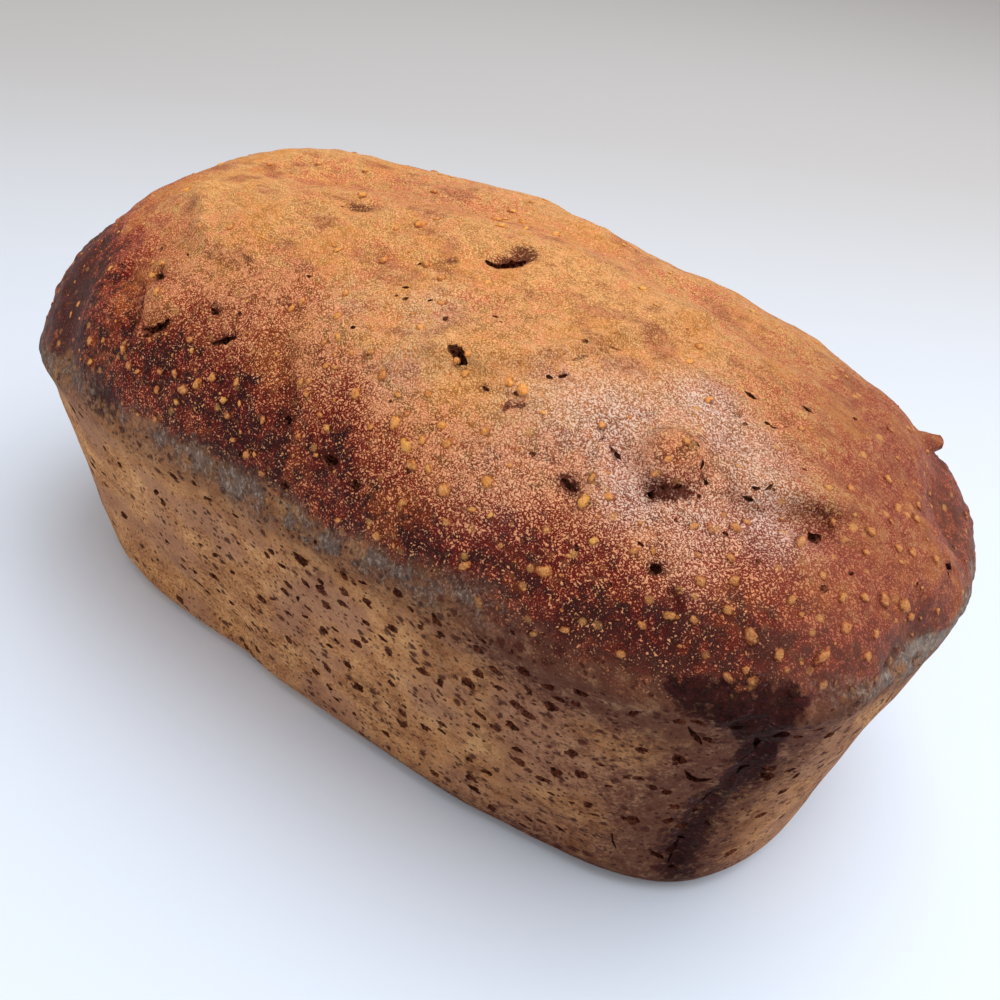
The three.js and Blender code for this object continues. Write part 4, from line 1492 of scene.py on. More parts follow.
@dataclass(frozen=True)
class Grains:
    """Grains that swelled and pushed through the crust, as one joined mesh.

    Those that stand out in the photograph are listed by column, row and size, all in pixels.
    """

    form: LoafForm
    relief: CrustRelief
    camera: PhotoCamera
    pixels: tuple[tuple[int, int, int], ...] = (
        (485, 432, 8), (490, 484, 11), (584, 503, 12), (466, 565, 12), (545, 571, 13), (415, 466, 13),
        (397, 424, 12), (372, 353, 8), (424, 442, 9), (448, 444, 11), (447, 491, 12), (408, 447, 14),
        (471, 363, 7), (466, 376, 9), (501, 225, 10), (527, 224, 9), (557, 229, 9), (497, 216, 10),
        (420, 225, 12), (488, 278, 8), (383, 255, 10), (510, 386, 8), (524, 393, 12), (381, 535, 10),
        (431, 470, 9), (479, 603, 11), (728, 610, 10), (725, 606, 14), (752, 636, 14), (700, 582, 10),
        (799, 544, 14), (670, 616, 12), (642, 625, 9), (620, 655, 9), (735, 580, 9), (758, 641, 11),
        (694, 620, 7), (823, 656, 15), (823, 685, 9), (845, 628, 11), (900, 508, 12), (897, 549, 9),
        (866, 553, 8), (739, 525, 10), (732, 555, 9), (634, 552, 8), (328, 367, 8), (326, 344, 9),
        (164, 297, 9), (189, 339, 9), (175, 374, 10), (198, 384, 12), (185, 390, 12), (92, 341, 11),
        (91, 362, 9), (235, 382, 9), (157, 390, 9), (212, 377, 9), (327, 428, 8), (246, 455, 10),
        (232, 440, 8), (728, 678, 12), (746, 670, 7), (751, 684, 12), (905, 606, 14), (884, 600, 12),
        (840, 598, 10), (820, 665, 9), (792, 600, 9), (700, 345, 8), (690, 360, 8), (602, 424, 8),
        (652, 429, 6), (740, 524, 12), (694, 525, 8), (712, 527, 8), (654, 478, 8), (592, 482, 9),
        (362, 196, 9), (509, 207, 8), (525, 212, 8), (436, 182, 8), (318, 157, 8), (366, 162, 8),
        (333, 242, 8), (337, 246, 8), (426, 263, 9), (441, 277, 8), (344, 290, 9), (421, 330, 9),
        (301, 300, 9), (308, 395, 8), (302, 382, 7), (310, 382, 8), (332, 371, 8), (356, 394, 12),
        (392, 422, 13), (326, 430, 9), (417, 477, 11), (449, 522, 10), (125, 350, 9), (132, 366, 9),
        (188, 338, 9), (160, 372, 9), (178, 402, 8), (222, 400, 8), (262, 420, 8), (340, 520, 8),
        (820, 576, 8), (868, 533, 9), (915, 520, 9), (890, 478, 9), (850, 490, 9), (835, 520, 8),
        (930, 560, 10), (918, 617, 10), (875, 634, 9), (862, 598, 9), (780, 655, 10),
    )
    pixel_size: float = 0.23
    count: int = 360
    levels: Range = (1.03, 1.97)
    largest: float = 1.1
    smallest: float = 0.35
    sunk: float = 0.3
    grain: Lumps = Lumps(6, 10, 0.2)
    tries: int = 9000
    seed: int = 417

    def places(self) -> tuple[Array, Array, Array]:
        """The grains that the photograph shows, then seeded ones where it shows many.

        Returns:
            Directions, levels and radii.
        """
        seen = np.array(self.pixels, float)
        direction, level = self.camera.land(seen[:, :2], self.form)
        radius = seen[:, 2] * self.pixel_size / 2
        taken: list[tuple[Array, float]] = []
        points = self.form.points(direction, level)
        kept = Scatter.apart(points, radius * 0.7, len(points), taken)
        more = Scatter(self.seed).draw(self.form, self.levels, self.tries)
        x, y, _ = more[2].T
        low = 1 - ease(more[1], 1.25, 1.8)
        near = ease(-y, -20, 45)
        end = ease(x, 30, 100)
        clumps = np.clip(0.6 + 1.6 * self.relief.noise.waves(more[2] + 40, 11), 0.05, 1.5)
        wanted = np.flatnonzero(more[3] < (0.1 + 0.4 * low * near + 0.35 * end) * clumps)
        share = np.random.default_rng(self.seed + 1).random(len(wanted))
        size = self.smallest + (self.largest - self.smallest) * share**2.2
        picked = Scatter.apart(more[2][wanted], size + 0.5, self.count, taken)
        chosen = wanted[picked]
        return (
            np.concatenate([direction[kept], more[0][chosen]]),
            np.concatenate([level[kept], more[1][chosen]]),
            np.concatenate([radius[kept], size[picked]]),
        )

    def build(self) -> bpy.types.Object:
        """Makes the joined grains: low uneven mounds, each with a tint and its own foot and top."""
        direction, level, radius = self.places()
        points, normals = self.relief.surface(direction, level)
        draw = np.random.default_rng(self.seed + 2)
        squash = draw.uniform(0.6, 1.0, len(radius))
        height = radius * draw.uniform(0.45, 0.75, len(radius))
        half_sizes = np.stack([radius * 1.1, radius * squash, height], -1)
        centres = points - normals * (height * self.sunk)[:, None]
        frames = frames_on(normals, draw.normal(size=normals.shape))
        grains = self.grain.build(centres, frames, half_sizes, self.seed + 3).to_object("crust_grains")
        globe, _ = self.grain.globe()
        add_layer(grains.data, Layer.TINT, "POINT", np.repeat(draw.random(len(radius)), len(globe)))
        tops = ease(globe[:, 2], 0.3, 0.85)
        add_layer(grains.data, Layer.GRAIN, "POINT", np.tile(tops, len(radius)))
        grains.data.shade_smooth()
        log.info("grains: %d, %d faces", len(radius), len(grains.data.polygons))
        return grains


def linear(colour: str) -> tuple[float, float, float, float]:
    """The linear colour of an sRGB hex value such as "d8965b"."""
    parts = [int(colour[at:at + 2], 16) / 255 for at in (0, 2, 4)]
    return (*(v / 12.92 if v <= 0.04045 else ((v + 0.055) / 1.055) ** 2.4 for v in parts), 1.0)


def per_metre(size: float) -> float:
    """The scale of a pattern whose features are this many mm across."""
    return 1000 / size


@dataclass
class Recipe:
    """A material that is being mixed from nodes."""

    name: str
    material: bpy.types.Material = field(init=False)

    def __post_init__(self) -> None:
        """Makes the empty material."""
        self.material = bpy.data.materials.new(self.name)
        self.material.use_nodes = True
        self.material.node_tree.nodes.clear()

    def add(self, kind: str, links: dict, out: int | str = 0, stops: tuple = (), **settings) -> Socket:
        """Adds one node with its settings and links.

        Args:
            kind: the node's type, without the part that all types share.
            links: for each input, by name or number, a value, a hex colour or the output that feeds it.
            out: the output that is wanted, by name or number.
            stops: for a colour ramp, its places and colours.
            settings: the node's own settings.

        Returns:
            The output.
        """
        tree = self.material.node_tree
        node = tree.nodes.new("ShaderNode" + kind)
        for name, value in settings.items():
            setattr(node, name, value)
        for at, (place, colour) in enumerate(stops):
            ramp = node.color_ramp.elements
            stop = ramp[at] if at < 2 else ramp.new(place)
            stop.position, stop.color = place, linear(colour)
        for name, value in links.items():
            socket = node.inputs[name]
            if isinstance(value, Socket):
                tree.links.new(value, socket)
            else:
                socket.default_value = linear(value) if isinstance(value, str) else value
        return node.outputs[out] if node.outputs else None

    def tint(
        self, under: Socket | str, over: str, share: dict, times: Socket | None = None, **settings
    ) -> Socket:
        """Lays one colour over another.

        Args:
            under: the colour below.
            over: the colour above, in hex.
            share: how far it covers, as the inputs that map a pattern's value to a share.
            times: a second share that the first is multiplied by.
            settings: how the value is mapped.

        Returns:
            The mixed colour.
        """
        covered = self.add("MapRange", share, **settings)
        if times is not None:
            covered = self.add("Math", {0: covered, 1: times}, **TIMES)
        return self.add("Mix", {0: covered, 6: under, 7: over}, **COLOURS)


SMOOTH = {"interpolation_type": "SMOOTHSTEP"}
COLOURS = {"data_type": "RGBA", "out": 2}
TIMES = {"operation": "MULTIPLY"}
TIMES_PLUS = {"operation": "MULTIPLY_ADD"}
LESS = {"operation": "SUBTRACT"}


@dataclass(frozen=True)
class LoafFinish:
    """Baked bread crust: golden to nearly black on the crown, tan and open-pored on the tin walls."""

    speck: float = 0.58  # mm across, the tiny blisters of the crust
    mottle: float = 2.4
    blotch: float = 9.0
    crumb: float = 0.7  # mm across, the mottling of the tin walls
    roughness: float = 0.5
    wall_roughness: float = 0.75
    ior: float = 1.45
    shine: float = 0.1  # low, because a dry crust has no gloss
    bump_depth: float = 0.35
    hollow_stops: Stops = (
        (0.0, "d8702a"), (1.0, "2e0504"), (0.28, "ba4a1c"), (0.5, "a22c16"), (0.75, "74160a"),
    )
    top_stops: Stops = (
        (0.0, "ffc676"), (1.0, "78281c"), (0.28, "ffac6c"), (0.5, "ff9a62"), (0.75, "ee7650"),
    )
    grain_stops: Stops = (
        (0.0, "cc6e32"), (1.0, "ffb852"), (0.4, "ec8a3e"), (0.75, "ff9f44"),
    )
    wall_stops: Stops = ((0.36, "8c5430"), (0.64, "eeb67c"), (0.5, "c68a58"))
    ash_stops: Stops = ((0.38, "33201b"), (0.68, "a89684"), (0.52, "64493e"))

    def build(self) -> bpy.types.Material:
        """Mixes the crown's crust, the tin walls and the torn inside of holes by the skin's layers."""
        recipe = Recipe("baked_bread_crust")
        place = recipe.add("TexCoord", {}, "Object")
        read = partial(recipe.add, "Attribute", {}, "Fac")
        layers = {layer: read(attribute_name=layer.value) for layer in Layer}
        crown, crown_height = self.crown(recipe, place, layers)
        wall, wall_height = self.wall(recipe, place, layers)
        colour = recipe.add("Mix", {0: layers[Layer.CROWN], 6: wall, 7: crown}, **COLOURS)
        colour = self.ash(recipe, place, layers, colour)
        colour = self.torn(recipe, place, layers, colour)
        colour = self.char(recipe, place, layers, colour)
        height = recipe.add("Mix", {0: layers[Layer.CROWN], 2: wall_height, 3: crown_height}, 0)
        bump = recipe.add("Bump", {"Strength": 0.9, "Distance": self.bump_depth * MM, "Height": height})
        ends = {3: self.wall_roughness, 4: self.roughness}
        rough = recipe.add("MapRange", {0: layers[Layer.CROWN], **ends})
        gloss = {"Roughness": rough, "IOR": self.ior, "Specular IOR Level": self.shine}
        shader = recipe.add("BsdfPrincipled", {"Base Color": colour, "Normal": bump, **gloss})
        recipe.add("OutputMaterial", {"Surface": shader})
        return recipe.material

    def crown(self, recipe: Recipe, place: Socket, layers: dict) -> tuple:
        """The crust: dark hollows and pale tops of tiny blisters, partly painted shade and light, both
        browner where it baked longer.

        Args:
            recipe: the material.
            place: the coordinates that patterns follow.
            layers: the skin's layers.

        Returns:
            The colour and the bump's height.
        """
        add, tint = recipe.add, recipe.tint
        blotch = add("TexNoise", {"Vector": place, "Scale": per_metre(self.blotch), "Detail": 3.0})
        broken = {"Vector": place, "Roughness": 0.6}
        mottle = add("TexNoise", {"Scale": per_metre(self.mottle), "Detail": 3.0, **broken})
        speck = add("TexNoise", {"Scale": per_metre(self.speck), "Detail": 2.0, **broken})
        bake = add("Math", {0: blotch, 1: 0.6, 2: layers[Layer.BAKE]}, **TIMES_PLUS)
        bake = add("Math", {0: mottle, 1: 1.25, 2: bake}, **TIMES_PLUS)
        # Browner in the relief's hollows and paler on its ridges: partly the crust's own colour, partly
        # painted shade in the hollows.
        bake = add("Math", {0: layers[Layer.RIDGE], 1: -0.3, 2: bake}, **TIMES_PLUS)
        bake = add("Math", {0: bake, 1: 0.82}, **LESS)

        # The tops of the tiny blisters are pale, with dark winding lines between them: partly the crust's
        # own specks, partly painted light on the tops and painted shade in the lines. Fewer stand out
        # where the crust is darker.
        worm = add("Math", {0: speck, 1: 0.5}, **LESS)
        worm = add("Math", {0: worm}, operation="ABSOLUTE")
        low_edge = add("MapRange", {0: bake, 1: 0.0, 2: 1.0, 3: 0.0, 4: 0.1})
        high_edge = add("Math", {0: low_edge, 1: 0.065})
        tops = add("MapRange", {0: worm, 1: low_edge, 2: high_edge})
        hollows = add("ValToRGB", {0: bake}, 0, self.hollow_stops)
        blisters = add("ValToRGB", {0: bake}, 0, self.top_stops)
        colour = add("Mix", {0: tops, 6: hollows, 7: blisters}, **COLOURS)

        # Golden and mauve patches, and streaks along the loaf.
        pale = add("Math", {0: 1.0, 1: bake}, use_clamp=True, **LESS)
        fresh = add("MapRange", {0: bake, 1: 0.35, 2: 0.95, 3: 1.0, 4: 0.1})
        golden = add("TexNoise", {"Vector": place, "Scale": per_metre(13), "Detail": 3.0})
        colour = tint(colour, "f09a38", {0: golden, 1: 0.46, 2: 0.66, 4: 0.6}, pale, **SMOOTH)
        aside = add("Mapping", {"Vector": place, "Location": (0.3, 0.1, 0.2), "Scale": (0.6, 1.0, 1.0)})
        mauve = add("TexNoise", {"Vector": aside, "Scale": per_metre(6), "Detail": 4.0, "Roughness": 0.6})
        colour = tint(colour, "98462c", {0: mauve, 1: 0.5, 2: 0.66, 4: 0.6}, fresh, **SMOOTH)
        drawn_out = add("Mapping", {"Vector": place, "Scale": (0.35, 1.0, 1.0)})
        streak = {"Vector": drawn_out, "Scale": per_metre(1.1), "Detail": 3.0, "Roughness": 0.6}
        streak = add("TexNoise", streak)
        colour = tint(colour, "83381f", {0: streak, 1: 0.35, 2: 0.7, 3: 0.3, 4: 0.0}, fresh)
        flake = add("TexNoise", {"Vector": aside, "Scale": per_metre(1.7), "Detail": 2.0})
        flake = add("MapRange", {0: flake, 1: 0.58, 2: 0.68, 4: 0.55}, **SMOOTH)
        flake = add("Math", {0: flake, 1: pale}, **TIMES)
        colour = add("Mix", {0: flake, 6: colour, 7: "f3b877"}, **COLOURS)

        # The duller crust of the ends, and on the highest blisters a pinkish-white that is painted
        # highlight with some dust.
        colour = tint(colour, "784636", {0: layers[Layer.CRISP], 3: 0.6, 4: 0.15}, layers[Layer.ROSE])
        colour = self.crispness(recipe, layers, (worm, mottle, bake), colour)
        # Painted glints on the highest blister tops in the sheen spots.
        glint = add("MapRange", {0: worm, 1: 0.02, 2: 0.1, 3: 0.0, 4: 0.95})
        colour = tint(colour, "f4d8ca", {0: layers[Layer.BLOOM], 3: 0.02, 4: 0.85}, glint)
        colour = tint(colour, "8a3818", {0: worm, 1: 0.06, 2: 0.01, 4: 0.8}, layers[Layer.BLOOM])
        colour = self.flecks(recipe, place, colour)
        colour = self.shades(recipe, layers, worm, colour)
        colour = self.grain(recipe, place, layers, colour)
        height = add("Math", {0: mottle, 1: 2.0}, **TIMES)
        height = add("Math", {0: flake, 1: 0.35, 2: height}, **TIMES_PLUS)
        steep = add("MapRange", {0: layers[Layer.CRISP], 3: 2.0, 4: 5.0})
        height = add("Math", {0: worm, 1: steep, 2: height}, **TIMES_PLUS)
        return colour, height

    def crispness(self, recipe: Recipe, layers: dict, patterns: tuple, colour: Socket) -> Socket:
        """Nearly black hollows and salmon tops in clusters, thinning where the crust is darkest: partly
        own specks, partly painted shade and light.
        """
        add, tint = recipe.add, recipe.tint
        worm, mottle, bake = patterns
        heap = add("Math", {0: mottle, 1: 0.35, 2: worm}, **TIMES_PLUS)
        colour = tint(colour, "560c08", {0: heap, 1: 0.25, 2: 0.16, 4: 0.75}, layers[Layer.CRISP])
        low_edge = add("MapRange", {0: bake, 1: 0.4, 2: 1.0, 3: 0.2, 4: 0.32})
        high_edge = add("Math", {0: low_edge, 1: 0.08})
        return tint(colour, "ffae78", {0: heap, 1: low_edge, 2: high_edge, 4: 0.95}, layers[Layer.CRISP])

    def flecks(self, recipe: Recipe, place: Socket, colour: Socket) -> Socket:
        """Small pale golden flecks in some of the cells of a cell pattern."""
        add = recipe.add
        pattern = {"Vector": place, "Scale": per_metre(2.7)}
        middle = add("TexVoronoi", pattern, "Distance")
        pick = add("SeparateColor", {0: add("TexVoronoi", pattern, "Color")}, 0)
        chosen = add("MapRange", {0: pick, 1: 0.7, 2: 0.95, 4: 0.55}, **SMOOTH)
        return recipe.tint(colour, "e3a35b", {0: middle, 1: 0.34, 2: 0.16}, chosen, **SMOOTH)

    def shades(self, recipe: Recipe, layers: dict, worm: Socket, colour: Socket) -> Socket:
        """The strokes' paint: pale golden lips, and dark maroon that is partly stain and partly painted
        shade, broken up by the specks.
        """
        add, tint = recipe.add, recipe.tint
        broken = add("Math", {0: worm, 1: 4.0, 2: 0.6}, **TIMES_PLUS)
        raised = add("Math", {0: layers[Layer.SHADE], 1: broken}, **TIMES)
        colour = tint(colour, "e2aa6c", {0: raised, 1: 0.12, 2: 0.75, 4: 0.85}, **SMOOTH)
        broken = add("Math", {0: worm, 1: 6.0, 2: -1.7}, **TIMES_PLUS)
        sunken = add("Math", {0: layers[Layer.SHADE], 1: broken}, **TIMES)
        return tint(colour, "541a12", {0: sunken, 1: 0.12, 2: 0.75, 4: 0.88}, **SMOOTH)

    def grain(self, recipe: Recipe, place: Socket, layers: dict, colour: Socket) -> Socket:
        """Swollen toasted grain: golden to orange, painted highlight at its top, painted shade on the
        crust at its ragged foot.
        """
        add, tint = recipe.add, recipe.tint
        on_grain = add("MapRange", {0: layers[Layer.GRAIN], 2: 0.12})
        gold = add("ValToRGB", {0: layers[Layer.TINT]}, 0, self.grain_stops)
        gold = tint(gold, "a55f45", {0: layers[Layer.BAKE], 1: 0.4, 2: 1.0, 4: 0.4})
        gold = tint(gold, "c87244", {0: layers[Layer.ROSE], 1: 0.5, 2: 1.0, 4: 0.6})
        broken = add("TexNoise", {"Vector": place, "Scale": per_metre(0.6), "Detail": 3.0})
        # Painted highlight on the grain's top.
        lit = add("Math", {0: layers[Layer.GRAIN], 1: broken}, **TIMES)
        gold = tint(gold, "ffbe74", {0: lit, 1: 0.3, 2: 0.6, 4: 0.7})
        # Painted shade: the crust darkens round the grain's foot.
        shaded = add("Math", {0: on_grain, 1: 0.4}, **TIMES)
        colour = add("Mix", {0: shaded, 6: colour, 7: "5a2214"}, **COLOURS)
        share = add("Math", {0: broken, 1: 2.4, 2: layers[Layer.GRAIN]}, **TIMES_PLUS)
        share = add("MapRange", {0: share, 1: 1.3, 2: 2.0}, **SMOOTH)
        faint = add("MapRange", {0: layers[Layer.ROSE], 1: 0.5, 2: 1.0, 3: 1.0, 4: 0.6})
        share = add("Math", {0: share, 1: on_grain}, **TIMES)
        share = add("Math", {0: share, 1: faint}, **TIMES)
        return add("Mix", {0: share, 6: colour, 7: gold}, **COLOURS)

    def wall(self, recipe: Recipe, place: Socket, layers: dict) -> tuple:
        """The tin wall: mottled tan with crowds of small pores, redder where it scorched.

        Args:
            recipe: the material.
            place: the coordinates that patterns follow.
            layers: the skin's layers.

        Returns:
            The colour and the bump's height.
        """
        add, tint = recipe.add, recipe.tint
        drawn_out = add("Mapping", {"Vector": place, "Scale": (0.85, 0.85, 1.0)})
        pattern = {"Vector": drawn_out, "Detail": 3.0}
        crumb = add("TexNoise", {"Scale": per_metre(self.crumb), "Roughness": 0.6, **pattern})
        broad = add("TexNoise", {"Scale": per_metre(6), **pattern})
        tone = add("Mix", {0: 0.4, 2: crumb, 3: broad}, 0)
        colour = add("ValToRGB", {0: tone}, 0, self.wall_stops)
        pink = add("TexNoise", {"Scale": per_metre(14), **pattern})
        pink = add("Math", {0: layers[Layer.ROSE], 1: 0.12, 2: pink}, **TIMES_PLUS)
        colour = tint(colour, "aa785e", {0: pink, 1: 0.46, 2: 0.64, 4: 0.65}, **SMOOTH)
        # Redder and darker: scorched, and painted shade under the overhanging crust.
        scorched_and_shaded = add("Math", {0: crumb, 1: 2.4, 2: -1.2}, **TIMES_PLUS)
        scorched_and_shaded = add("Math", {0: layers[Layer.SCORCH_AND_SHADE], 1: scorched_and_shaded})
        colour = tint(colour, "50281f", {0: scorched_and_shaded, 1: 0.1, 2: 1.0, 4: 0.85}, **SMOOTH)
        rubble = {"Vector": drawn_out, "Scale": per_metre(2.4), "Detail": 5.0, "Roughness": 0.7}
        rubble = add("TexNoise", rubble)
        rough = add("MapRange", {0: layers[Layer.POROUS], 1: 0.6, 2: 1.0, 4: 0.5})
        colour = tint(colour, "5a2c20", {0: rubble, 1: 0.5, 2: 0.4, 4: rough}, **SMOOTH)
        colour = tint(colour, "bc8e6a", {0: rubble, 1: 0.52, 2: 0.72, 4: rough}, **SMOOTH)
        large = self.pits(recipe, drawn_out, layers, 2.6, 0.44)
        small = self.pits(recipe, drawn_out, layers, 1.2, 0.42)
        pits = add("Math", {0: large, 1: small}, operation="MAXIMUM")
        colour = add("Mix", {0: pits, 6: colour, 7: "4c2016"}, **COLOURS)
        height = add("Math", {0: crumb, 1: 2.2}, **TIMES)
        height = add("Math", {0: pits, 1: -1.6, 2: height}, **TIMES_PLUS)
        steep = add("MapRange", {0: layers[Layer.POROUS], 1: 0.4, 2: 1.0, 4: 5.0})
        height = add("Math", {0: rubble, 1: steep, 2: height}, **TIMES_PLUS)
        return colour, height

    def pits(self, recipe: Recipe, place: Socket, layers: dict, apart: float, widest: float) -> Socket:
        """Small open pores: round spots in some cells of a cell pattern, bent by noise.

        More cells have one, and wider ones, where the walls are more porous.

        Args:
            recipe: the material.
            place: the coordinates that the pattern follows.
            layers: the skin's layers.
            apart: the size of the cells in mm.
            widest: the widest radius as a share of a cell.

        Returns:
            0 between the pores, 1 in their middles.
        """
        add = recipe.add
        bend = {"Vector": place, "Scale": per_metre(apart * 0.45), "Detail": 1.0}
        bend = add("TexNoise", bend, "Color")
        amount = (apart * 0.55 * MM,) * 3
        bent = add("VectorMath", {0: bend, 1: amount, 2: place}, **TIMES_PLUS)
        pattern = {"Vector": bent, "Scale": per_metre(apart)}
        middle = add("TexVoronoi", pattern, "Distance")
        pick = add("SeparateColor", {0: add("TexVoronoi", pattern, "Color")}, 0)
        fewest = add("MapRange", {0: layers[Layer.POROUS], 3: 0.75, 4: -0.3})
        radius = add("MapRange", {0: pick, 1: fewest, 2: 1.0, 4: widest})
        inner = add("Math", {0: radius, 1: 0.45}, **TIMES)
        return add("MapRange", {0: middle, 1: radius, 2: inner, 4: 0.9}, **SMOOTH)

    def ash(self, recipe: Recipe, place: Socket, layers: dict, colour: Socket) -> Socket:
        """The grey band at the rim: dark soot, pale dust and at the +X end painted sky light, in short
        streaks that run down the wall.
        """
        add, tint = recipe.add, recipe.tint
        tall = add("Mapping", {"Vector": place, "Scale": (1.0, 1.0, 0.7)})
        wisps = {"Vector": tall, "Scale": per_metre(0.8), "Detail": 4.0}
        wisps = add("TexNoise", {**wisps, "Roughness": 0.65, "Distortion": 0.8})
        patch = add("TexNoise", {"Vector": place, "Scale": per_metre(5), "Detail": 3.0, "Roughness": 0.6})
        grey = add("ValToRGB", {0: wisps}, 0, self.ash_stops)
        # Pale grey where the band is fullest: dust, and at the +X end painted sky light.
        dust_and_sky_light = add("Math", {0: patch, 1: 2.0, 2: layers[Layer.ASH]}, **TIMES_PLUS)
        grey = tint(grey, "b8a89a", {0: dust_and_sky_light, 1: 1.9, 2: 2.7, 4: 0.45})
        share = add("MapRange", {0: patch, 1: 0.38, 2: 0.58, 3: 0.2, 4: 0.9}, **SMOOTH)
        share = add("Math", {0: layers[Layer.ASH], 1: share}, use_clamp=True, **TIMES)
        return add("Mix", {0: share, 6: colour, 7: grey}, **COLOURS)

    def char(self, recipe: Recipe, place: Socket, layers: dict, colour: Socket) -> Socket:
        """Burnt dough, nearly black with a red cast, its edge broken up by noise."""
        add = recipe.add
        broken = {"Vector": place, "Scale": per_metre(1.9), "Detail": 4.0, "Roughness": 0.65}
        broken = add("TexNoise", broken)
        burnt = add("Math", {0: broken, 1: 2.8, 2: -1.4}, **TIMES_PLUS)
        burnt = add("Math", {0: layers[Layer.CHAR], 1: burnt})
        burnt = add("MapRange", {0: burnt, 1: 0.15, 2: 0.85, 4: 0.95}, **SMOOTH)
        near = add("MapRange", {0: layers[Layer.CHAR], 1: 0.02, 2: 0.2})
        burnt = add("Math", {0: burnt, 1: near}, **TIMES)
        black = add("ValToRGB", {0: broken}, 0, ((0.42, "170404"), (0.66, "421612")))
        colour = add("Mix", {0: burnt, 6: colour, 7: black}, **COLOURS)
        return recipe.tint(colour, "6c5f62", {0: broken, 1: 0.62, 2: 0.7, 4: 0.4}, burnt, **SMOOTH)

    def torn(self, recipe: Recipe, place: Socket, layers: dict, colour: Socket) -> Socket:
        """The inside of holes and pores: uneven dark maroon, darkest on the crown."""
        add = recipe.add
        uneven = add("TexNoise", {"Vector": place, "Scale": per_metre(0.6), "Detail": 2.0})
        on_wall = add("ValToRGB", {0: uneven}, 0, ((0.38, "3a1610"), (0.62, "7c402c")))
        on_crown = add("ValToRGB", {0: uneven}, 0, ((0.42, "34100c"), (0.6, "a65f44")))
        inside = add("Mix", {0: layers[Layer.CROWN], 6: on_wall, 7: on_crown}, **COLOURS)
        share = add("Math", {0: layers[Layer.TORN], 1: 0.9}, **TIMES)
        return add("Mix", {0: share, 6: colour, 7: inside}, **COLOURS)


@dataclass(frozen=True)
class Lamp:
    """A square area light that faces the loaf: its name, place and size in m, and power in W."""

    name: str
    place: Triple
    size: float
    power: float


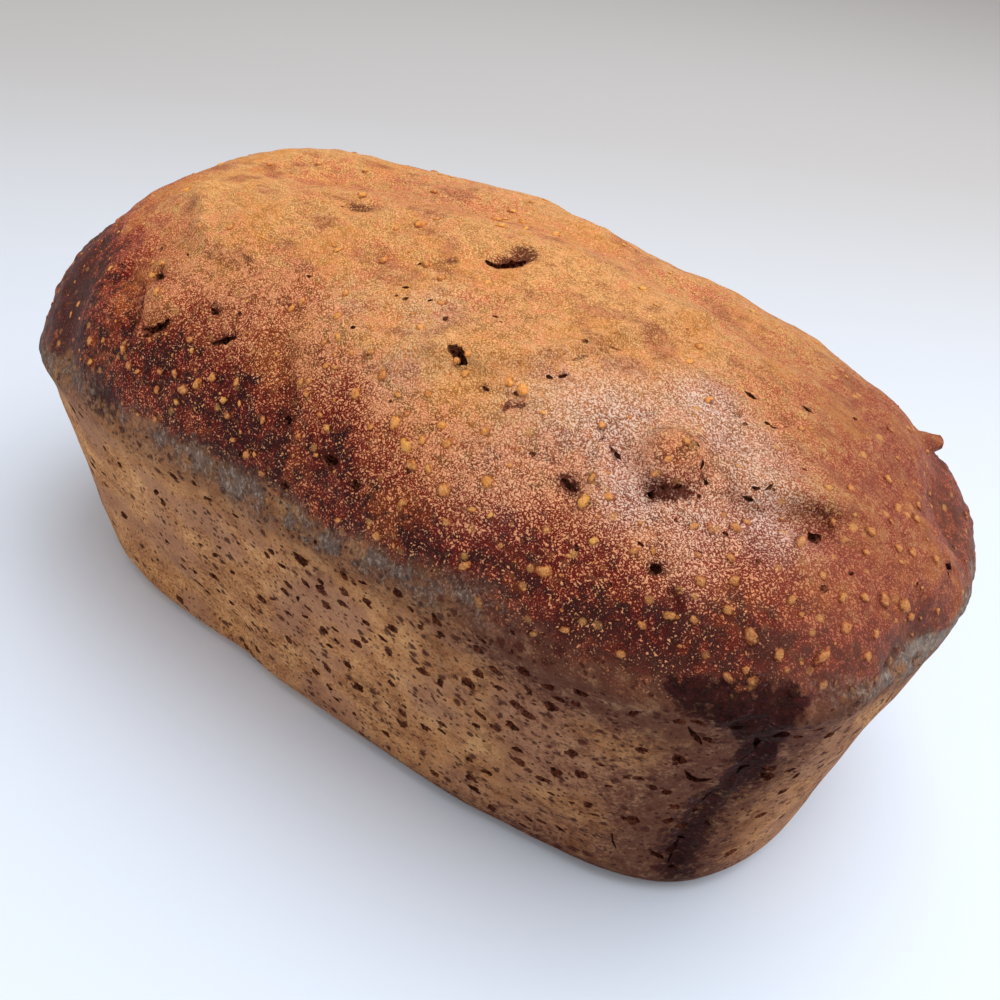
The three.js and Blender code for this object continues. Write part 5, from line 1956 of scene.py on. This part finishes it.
@dataclass(frozen=True)
class Studio:
    """A pale floor painted greyer towards the back as shade, soft light from above and behind, and a pale
    sky.
    """

    floor_size: float = 6.0
    floor_colour: str = "e5eefa"
    far_colour: str = "c9c6c4"
    away: Triple = (-0.53, 0.85, 0.0)
    dims_from: float = -0.1  # m behind the loaf's middle, where the floor's painted shade begins to turn it greyer
    dims_to: float = 0.5
    sky_colour: str = "ebe8e6"
    sky_strength: float = 0.62
    lamp_colour: str = "f3f8ff"
    lamps: tuple[Lamp, ...] = (
        Lamp("soft_overhead", (0.3, 0.2, 1.05), 1.2, 12.8),
        Lamp("soft_front", (0.1, -1.3, 0.8), 1.0, 1.9),
    )
    aim: Triple = (0.0, 0.0, 0.05)

    def build(self) -> None:
        """Makes the floor, the lights and the sky."""
        half = self.floor_size / 2
        corners = np.array([[-half, -half, 0], [half, -half, 0], [half, half, 0], [-half, half, 0]]) / MM
        floor = MeshParts(corners, [(0, 1, 2, 3)]).to_object("pale_floor")
        recipe = Recipe("matt_pale_floor")
        place = recipe.add("TexCoord", {}, "Object")
        # Painted shade: the floor turns greyer towards the back, as less light reaches it there.
        away = recipe.add("VectorMath", {0: place, 1: self.away}, "Value", operation="DOT_PRODUCT")
        far = {0: away, 1: self.dims_from, 2: self.dims_to}
        colour = recipe.tint(self.floor_colour, self.far_colour, far, **SMOOTH)
        shader = recipe.add("BsdfPrincipled", {"Base Color": colour, "Roughness": 0.8})
        recipe.add("OutputMaterial", {"Surface": shader})
        floor.data.materials.append(recipe.material)
        for lamp in self.lamps:
            self.light(lamp)
        world = bpy.data.worlds.new("pale_sky")
        world.use_nodes = True
        background = world.node_tree.nodes["Background"]
        background.inputs["Color"].default_value = linear(self.sky_colour)
        background.inputs["Strength"].default_value = self.sky_strength
        bpy.context.scene.world = world
        bpy.context.scene.view_settings.view_transform = "Standard"

    def light(self, lamp: Lamp) -> None:
        """Adds one lamp to the scene, turned towards the loaf."""
        data = bpy.data.lights.new(lamp.name, "AREA")
        data.size, data.energy, data.color = lamp.size, lamp.power, linear(self.lamp_colour)[:3]
        made = bpy.data.objects.new(lamp.name, data)
        made.location = lamp.place
        made.rotation_euler = (Vector(self.aim) - Vector(lamp.place)).to_track_quat("-Z", "Y").to_euler()
        bpy.context.scene.collection.objects.link(made)


def shift_to_frame(skin: bpy.types.Object) -> Array:
    """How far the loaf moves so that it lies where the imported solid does.

    The middles of the two boxes meet in the plan, and the lowest point goes to the solid's lowest.
    """
    points = vertices_of(skin.data)
    low, high = (np.array(corner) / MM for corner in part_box("loaf"))
    shift = (low + high) / 2 - (points.min(0) + points.max(0)) / 2
    shift[2] = low[2] - points[:, 2].min()
    return shift


def main() -> None:
    """Builds the loaf, its grains, the studio and the camera."""
    form = LoafForm()
    camera = PhotoCamera()
    strokes = Strokes(form, camera)
    relief = CrustRelief(form, strokes, Tears(form, camera))
    zones = Zones(form, relief, strokes)
    skin = LoafSkin(form, relief, camera)

    loaf = skin.build_skin()
    shift = shift_to_frame(loaf)
    log.info("skin: %d faces, shift %s mm", len(loaf.data.polygons), np.round(shift, 2))
    carve(loaf, skin.nub().to_object("nub"), Carving.JOIN)
    for cutter in (skin.tear_cutter(), skin.pinhole_cutter(), *WallPores(form, relief, camera).build()):
        tool = cutter.to_object("cutter")
        add_layer(tool.data, Layer.TORN, "FACE", np.ones(len(tool.data.polygons)))
        carve(loaf, tool, Carving.CUT)
        log.info("carved: %d faces", len(loaf.data.polygons))
    loaf.data.shade_smooth()
    loaf.data.set_sharp_from_angle(angle=SHARP)
    grains = Grains(form, relief, camera).build()
    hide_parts("loaf")

    finish = LoafFinish().build()
    for piece in (loaf, grains):
        piece.data.transform(Matrix.Translation(Vector(shift * MM)))
        zones.paint(piece.data, shift)
        piece.data.materials.clear()
        piece.data.materials.append(finish)
        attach(piece, "root")
        piece.data.calc_loop_triangles()
        log.info("%s: %d triangles", piece.name, len(piece.data.loop_triangles))

    Studio().build()
    camera.build(shift)


if __name__ == "__main__":
    logging.basicConfig(level=logging.INFO, format="%(message)s")
    main()
